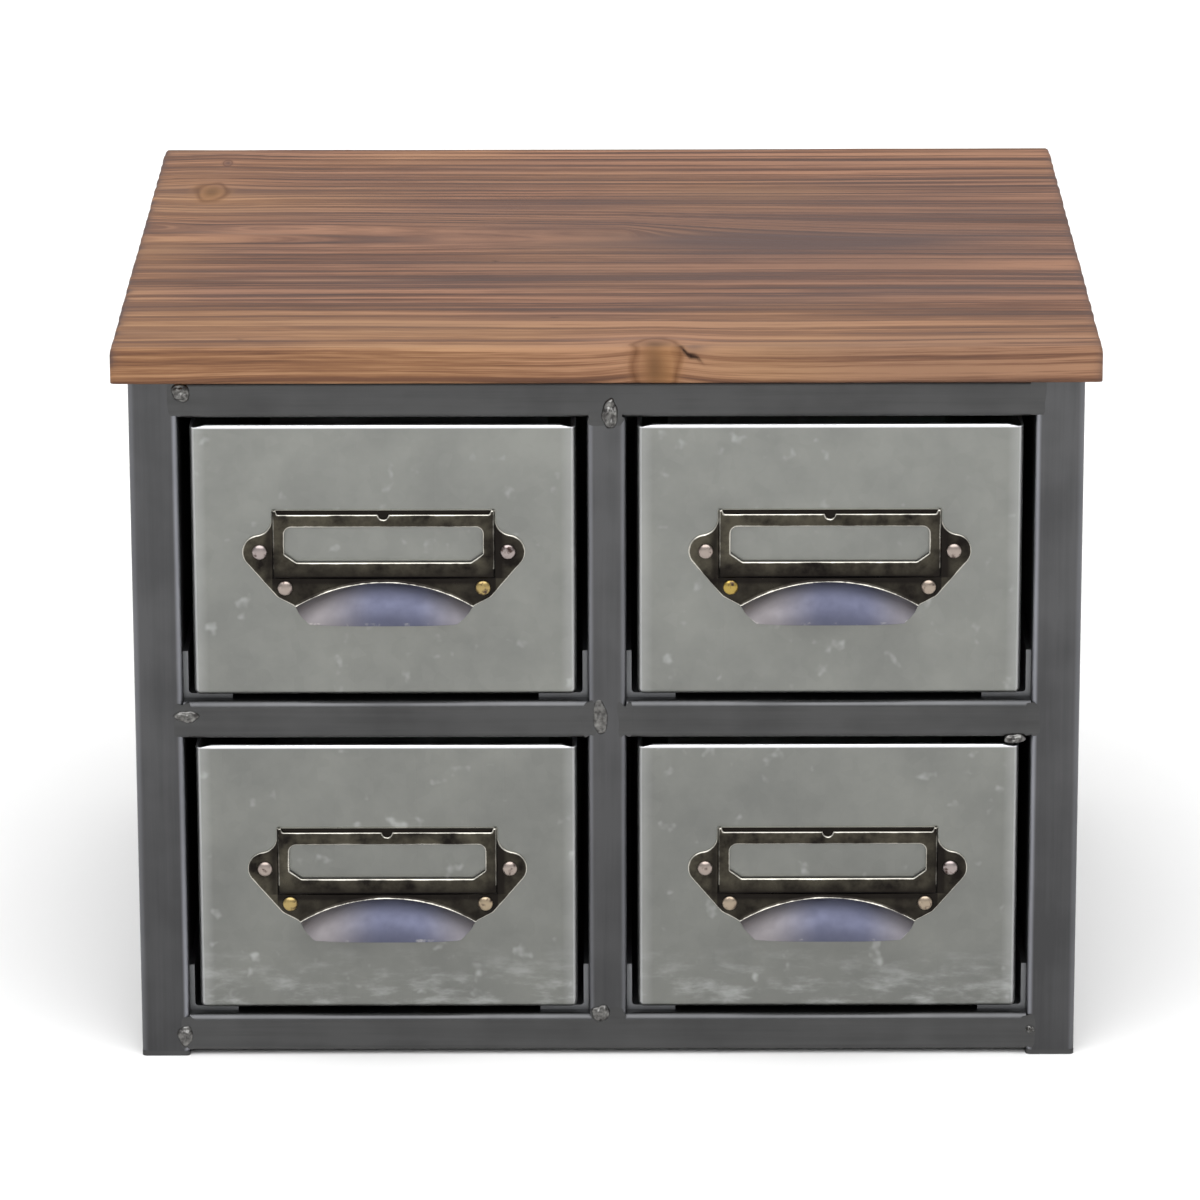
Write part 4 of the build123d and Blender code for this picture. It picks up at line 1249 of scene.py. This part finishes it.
def finger_cup(p):
    """The cup: a quarter circle carried along the arch and cut off level at the lip and on a
    slope at both ends. At each angle along the arch a ring of points goes round the sheet:
    from the plate out to the lip, round the lip's edge and back inside, on a quarter circle
    that is a plate's thickness smaller."""
    around, face_rows, edge_rows = 90, 22, 4
    end = atan2(p["end_x"], p["end_z"] - p["arch_z"])
    lean = np.linspace(-end, end, around)
    inner_radius = p["arch"] - p["reach"]
    # Where the ray at each angle meets the lip's level or a sloping end
    level = (p["lip_z"] - p["arch_z"]) / np.cos(lean)
    slope = (p["end_z"] - p["lip_z"]) / (p["end_x"] - p["lip_x"])
    towards = np.cos(lean) - slope * np.abs(np.sin(lean))
    slanted = (p["lip_z"] - p["arch_z"] - slope * p["lip_x"]) / towards
    slanted = np.where((slanted > 0) & (towards > 0), slanted, 0)
    off_lip = np.abs(np.tan(lean)) * (p["lip_z"] - p["arch_z"]) > p["lip_x"]
    cut = np.where(off_lip, np.maximum(level, slanted), level)
    cut = np.minimum(cut, p["arch"] - 0.02)
    outer_turn = np.arccos(np.clip((cut - inner_radius) / p["reach"], 0, 1))
    inner_reach = p["reach"] - p["plate"]
    inner_turn = np.arccos(np.clip((cut - inner_radius) / inner_reach, 0, 1))
    rows = []                                         # distance from the arch's centre, height
    for part in np.linspace(0.0, 1.0, face_rows):
        turn = part * outer_turn
        rows.append((inner_radius + p["reach"] * np.cos(turn), p["reach"] * np.sin(turn)))
    # The edge swells by 0.22 mm between the two faces' tips, where the cup stands out
    tip_r, tip_h = rows[-1]
    back_r = inner_radius + inner_reach * np.cos(inner_turn)
    back_h = inner_reach * np.sin(inner_turn)
    mid_r, mid_h = (tip_r + back_r) / 2, (tip_h + back_h) / 2
    for t in np.linspace(0, pi, edge_rows + 2)[1:-1]:
        swell = 0.22 * sin(t) * np.clip((tip_h - 0.5) / 2, 0, 1)
        rows.append((mid_r + (tip_r - mid_r) * cos(t) - swell, mid_h + (tip_h - mid_h) * cos(t)))
    for part in np.linspace(1.0, 0.0, face_rows):
        turn = part * inner_turn
        rows.append((inner_radius + inner_reach * np.cos(turn), inner_reach * np.sin(turn)))
    radius, height = (np.array(column) for column in zip(*rows))
    x = radius * np.sin(lean)
    z = p["arch_z"] + radius * np.cos(lean)
    rings = np.swapaxes(np.stack([x, -height, z], -1), 0, 1)
    # The cup's painted reflection covers its face and half its edge; its pale ends are a painted
    # highlight, the left one more
    across = (x / p["end_x"]).T
    outside, lip = np.zeros(rings.shape[:2]), np.zeros(rings.shape[:2])
    outside[:, :face_rows + edge_rows // 2] = 1.0
    lip[:, face_rows - 2:face_rows + edge_rows + 1] = 1.0
    pale = 0.9 * smooth_step(-across, 0.05, 0.75) + 0.7 * smooth_step(across, 0.35, 0.9)
    edge = 0.36 * lip + 0.35 * smooth_step(np.abs(across), 0.95, 1.0)
    return shell(rings, wear=edge, cup=np.stack([outside, pale, np.zeros(pale.shape)], -1))


def at_drawer(shells, place):
    """Shells moved to the front of a drawer."""
    return [(points + place, faces, marks) for points, faces, marks in shells]


def pull_place(level, side, drop):
    """Middle between the ear rivets' places on a drawer's front."""
    low, high = box_mm(f"drawer_{level}_{side}")
    return np.array([(low[0] + high[0]) / 2, low[1], high[2] - drop])


class CABINET_OT_pulls(bpy.types.Operator):
    """Four stamped card-holder pulls, each with a raised frame, ears and a finger cup"""
    bl_idname = "cabinet.pulls"
    bl_label = "Card-holder pulls"

    def execute(self, context):
        s = context.scene.cabinet_pull
        p = pull_sizes(s)
        bronze = antique_bronze(s)
        shells = [stamped_plate(p), pocket_back(p), finger_cup(p)]
        for level in LEVELS:
            for side in SIDES:
                add_piece(f"stamped_pull_{level}_{side}",
                          at_drawer(shells, pull_place(level, side, p["drop"])), bronze,
                          f"{level}_{side}_drawer", [f"pull_{level}_{side}"])
        return {"FINISHED"}


# Fasteners ----------------------------------------------------------------------------------

def turned(profile, axis_point, direction, count=20, **marks):
    """A profile of radii and heights turned round an axis. It starts and ends close to the
    axis, and small flat caps close it there."""
    turns = np.linspace(0, 2 * pi, count, endpoint=False)
    direction = np.array(direction, float)
    side = np.cross(direction, (0.0, 0.6, 0.8))       # square to the axis, whichever it is
    side /= sqrt((side ** 2).sum())
    other = np.cross(direction, side)
    radii, heights = (np.array(column)[:, None, None] for column in zip(*profile))
    circle = np.cos(turns)[:, None] * side + np.sin(turns)[:, None] * other
    rings = np.array(axis_point, float) + radii * circle + heights * direction
    shape = rings.shape[:2]
    return shell(rings, **{key: np.full(shape, value) for key, value in marks.items()})


def rivet(place, plate, sheet, s, brass):
    """A rivet through plate and drawer front: domed head with a low rim, shank and tail. Head
    and tail are quarter ellipses."""
    head, rise = s.head / MM, s.head_height / MM
    shank, tail, tail_rise = s.shank / MM, s.tail / MM, s.tail_height / MM
    rim = 0.25                                        # height of the dome's foot
    dome = [(head * sin(t), plate + rim + (rise - rim) * cos(t))
            for t in np.linspace(0.03, pi / 2, 9)]
    end = [(tail * cos(t), -sheet - tail_rise * sin(t))
           for t in np.linspace(0.0, pi / 2 - 0.03, 6)]
    profile = [*dome, (head, plate + 0.1), (head - 0.15, plate - 0.05), (shank, plate - 0.05),
               (shank, -sheet), (tail - 0.1, -sheet + 0.02), *end]
    return turned(profile, place, (0, -1, 0), brass=brass)


class CABINET_OT_rivets(bpy.types.Operator):
    """Four domed rivets in each pull; brass shows on a few of the lower ones"""
    bl_idname = "cabinet.rivets"
    bl_label = "Rivets"

    def execute(self, context):
        s = context.scene.cabinet_fastener
        p = pull_sizes(context.scene.cabinet_pull)
        sheet = context.scene.cabinet_sheet.sheet / MM
        plated = plated_rivet(s)
        # Brass share of the left ear, right ear, left lower and right lower rivet
        brass = {("upper", "left"): (0.0, 0.0, 0.1, 0.8), ("upper", "right"): (0.1, 0.1, 1.0, 0.2),
                 ("lower", "left"): (0.1, 0.1, 0.8, 0.4), ("lower", "right"): (0.1, 0.0, 0.3, 0.3)}
        sinks = (EAR_DISH, EAR_DISH, 0.0, 0.0)
        for (level, side), shares in brass.items():
            base = pull_place(level, side, p["drop"])
            shells = [rivet(base + np.array([x, sink, z]), p["plate"], sheet, s, part)
                      for (x, z), sink, part in zip(p["rivets"], sinks, shares)]
            add_piece(f"domed_rivets_{level}_{side}", shells, plated, f"{level}_{side}_drawer",
                      [f"rivets_{level}_{side}"])
        return {"FINISHED"}


class CABINET_OT_screws(bpy.types.Operator):
    """Four pan-head screws that hold the board, seen from below under the side rails"""
    bl_idname = "cabinet.screws"
    bl_label = "Board screws"

    def execute(self, context):
        low, high = box_mm("board_screws")
        rail_low = box_mm("side_top_rail_left")[0][2]
        head, shank, point = 4.0, 2.0, 4.0            # two radii, and the point's length
        drop, reach = rail_low - low[2], high[2] - rail_low
        # From below: the driver's recess, the dome of the head, the shank and its point
        recess = [(0.4, -drop * 0.45), (1.4, -drop * 0.5), (1.5, -drop * 0.97)]
        dome = [(head * sin(t), -drop * (0.35 + 0.65 * cos(t)))
                for t in np.linspace(0.05, pi / 2, 8)[3:]]
        stem = [(head, -0.05), (shank, 0.0), (shank, reach - point), (0.05, reach)]
        shells = [turned(recess + dome + stem, (x, y, rail_low), (0, 0, 1))
                  for x in (low[0] + head, high[0] - head) for y in (low[1] + head, high[1] - head)]
        add_piece("pan_head_screws", shells, zinc_plate(context.scene.cabinet_fastener),
                  "cabinet", ["board_screws"])
        return {"FINISHED"}


# Studio -------------------------------------------------------------------------------------

CAMERA_PLACE = (0.0047, -2.8517, 0.9967)                            # metres
CAMERA_PITCH, CAMERA_YAW, CAMERA_ROLL = 16.603, -0.160, -0.159      # degrees; pitch is downwards
FLOOR_HALF = 30.0                                                   # metres
WINDOW_RISE = 57.0        # degrees from the floor up to the window's middle
WINDOW_FULL, WINDOW_GONE = 26.0, 44.0     # degrees from its middle to full and to no light


def softbox(name, place, aim, size, power):
    """A rectangular light, its size in metres, turned to a point."""
    data = bpy.data.lights.new(name, "AREA")
    data.shape, data.size, data.size_y = "RECTANGLE", *size
    data.energy = power
    light = bpy.data.objects.new(name, data)
    light.location = place
    light.rotation_euler = (Vector(aim) - Vector(place)).to_track_quat("-Z", "Y").to_euler()
    bpy.context.scene.collection.objects.link(light)


class CABINET_OT_stage(bpy.types.Operator):
    """Pale floor, white surround with a soft window, a softbox behind, and the camera"""
    bl_idname = "cabinet.stage"
    bl_label = "Studio and camera"

    def execute(self, context):
        s = context.scene.cabinet_stage
        scene = context.scene
        mesh = bpy.data.meshes.new("floor")
        mesh.from_pydata([(x * FLOOR_HALF, y * FLOOR_HALF, 0)
                          for x, y in ((-1, -1), (1, -1), (1, 1), (-1, 1))], [], [(0, 1, 2, 3)])
        mesh.materials.append(matt_paper(s))
        floor = bpy.data.objects.new("floor", mesh)
        scene.collection.objects.link(floor)

        # A white surround with a large soft window in front and above, infinitely far away, so
        # that the whole floor is lit evenly and the hems and upper tube edges catch its light
        world = bpy.data.worlds.new("white_surround")
        world.use_nodes = True
        tree = world.node_tree
        rise = radians(WINDOW_RISE)
        facing = add(tree, "VectorMath", {0: add(tree, "TexCoord").outputs["Generated"],
                                          1: (0.0, -cos(rise), sin(rise))},
                     operation="DOT_PRODUCT")
        window = add(tree, "MapRange", {"Value": facing.outputs["Value"],
                                        "From Min": cos(radians(WINDOW_GONE)),
                                        "From Max": cos(radians(WINDOW_FULL)),
                                        "To Min": s.sky, "To Max": s.window},
                     interpolation_type="SMOOTHSTEP")
        connect(tree, tree.nodes["Background"], {"Color": linear("#f7f8fa"),
                                                 "Strength": window.outputs[0]})
        scene.world = world
        # A weak light from behind and above, turned to the cabinet's back
        softbox("back_softbox", (0.0, 1.6, 1.6), (0.0, 0.1, 0.2), (1.6, 0.8), s.back)

        yaw, pitch, roll = (radians(v) for v in (CAMERA_YAW, CAMERA_PITCH, CAMERA_ROLL))
        ahead = Vector((sin(yaw) * cos(pitch), cos(yaw) * cos(pitch), -sin(pitch)))
        level_right = Vector((cos(yaw), -sin(yaw), 0.0))
        level_up = level_right.cross(ahead)
        right = cos(roll) * level_right + sin(roll) * level_up
        up = cos(roll) * level_up - sin(roll) * level_right
        data = bpy.data.cameras.new("camera")
        data.lens, data.sensor_width = s.lens, 36.0
        camera = bpy.data.objects.new("camera", data)
        turn = Matrix((right, up, -ahead)).transposed()
        camera.matrix_world = Matrix.Translation(CAMERA_PLACE) @ turn.to_4x4()
        scene.collection.objects.link(camera)
        scene.camera = camera
        scene.view_settings.view_transform = "Standard"
        return {"FINISHED"}


# Panel and registration ---------------------------------------------------------------------

OPERATORS = (CABINET_OT_frame, CABINET_OT_welds, CABINET_OT_board, CABINET_OT_screws,
             CABINET_OT_drawers, CABINET_OT_pulls, CABINET_OT_rivets, CABINET_OT_stage)
SETTINGS = {"cabinet_frame": FrameSettings, "cabinet_weld": WeldSettings,
            "cabinet_board": BoardSettings, "cabinet_sheet": SheetSettings,
            "cabinet_pull": PullSettings, "cabinet_fastener": FastenerSettings,
            "cabinet_stage": StageSettings}


class CABINET_PT_panel(bpy.types.Panel):
    """The cabinet's pieces and their settings"""
    bl_idname = "CABINET_PT_panel"
    bl_label = "Drawer cabinet"
    bl_space_type = "VIEW_3D"
    bl_region_type = "UI"
    bl_category = "Cabinet"

    def draw(self, context):
        for operator in OPERATORS:
            self.layout.operator(operator.bl_idname)
        for name, group in SETTINGS.items():
            column = self.layout.box().column()
            for key in group.__annotations__:
                column.prop(getattr(context.scene, name), key)


def register():
    """Registers the settings, operators and panel, and puts the settings on the scene."""
    for made in (*SETTINGS.values(), *OPERATORS, CABINET_PT_panel):
        bpy.utils.register_class(made)
    for name, group in SETTINGS.items():
        setattr(bpy.types.Scene, name, PointerProperty(type=group))


def unregister():
    """Takes away what register has added."""
    for name in SETTINGS:
        delattr(bpy.types.Scene, name)
    for made in reversed((*SETTINGS.values(), *OPERATORS, CABINET_PT_panel)):
        bpy.utils.unregister_class(made)


def main():
    """Makes every piece and the stage."""
    register()
    for operator in OPERATORS:
        group, name = operator.bl_idname.split(".")
        getattr(getattr(bpy.ops, group), name)()


if __name__ == "__main__":
    main()
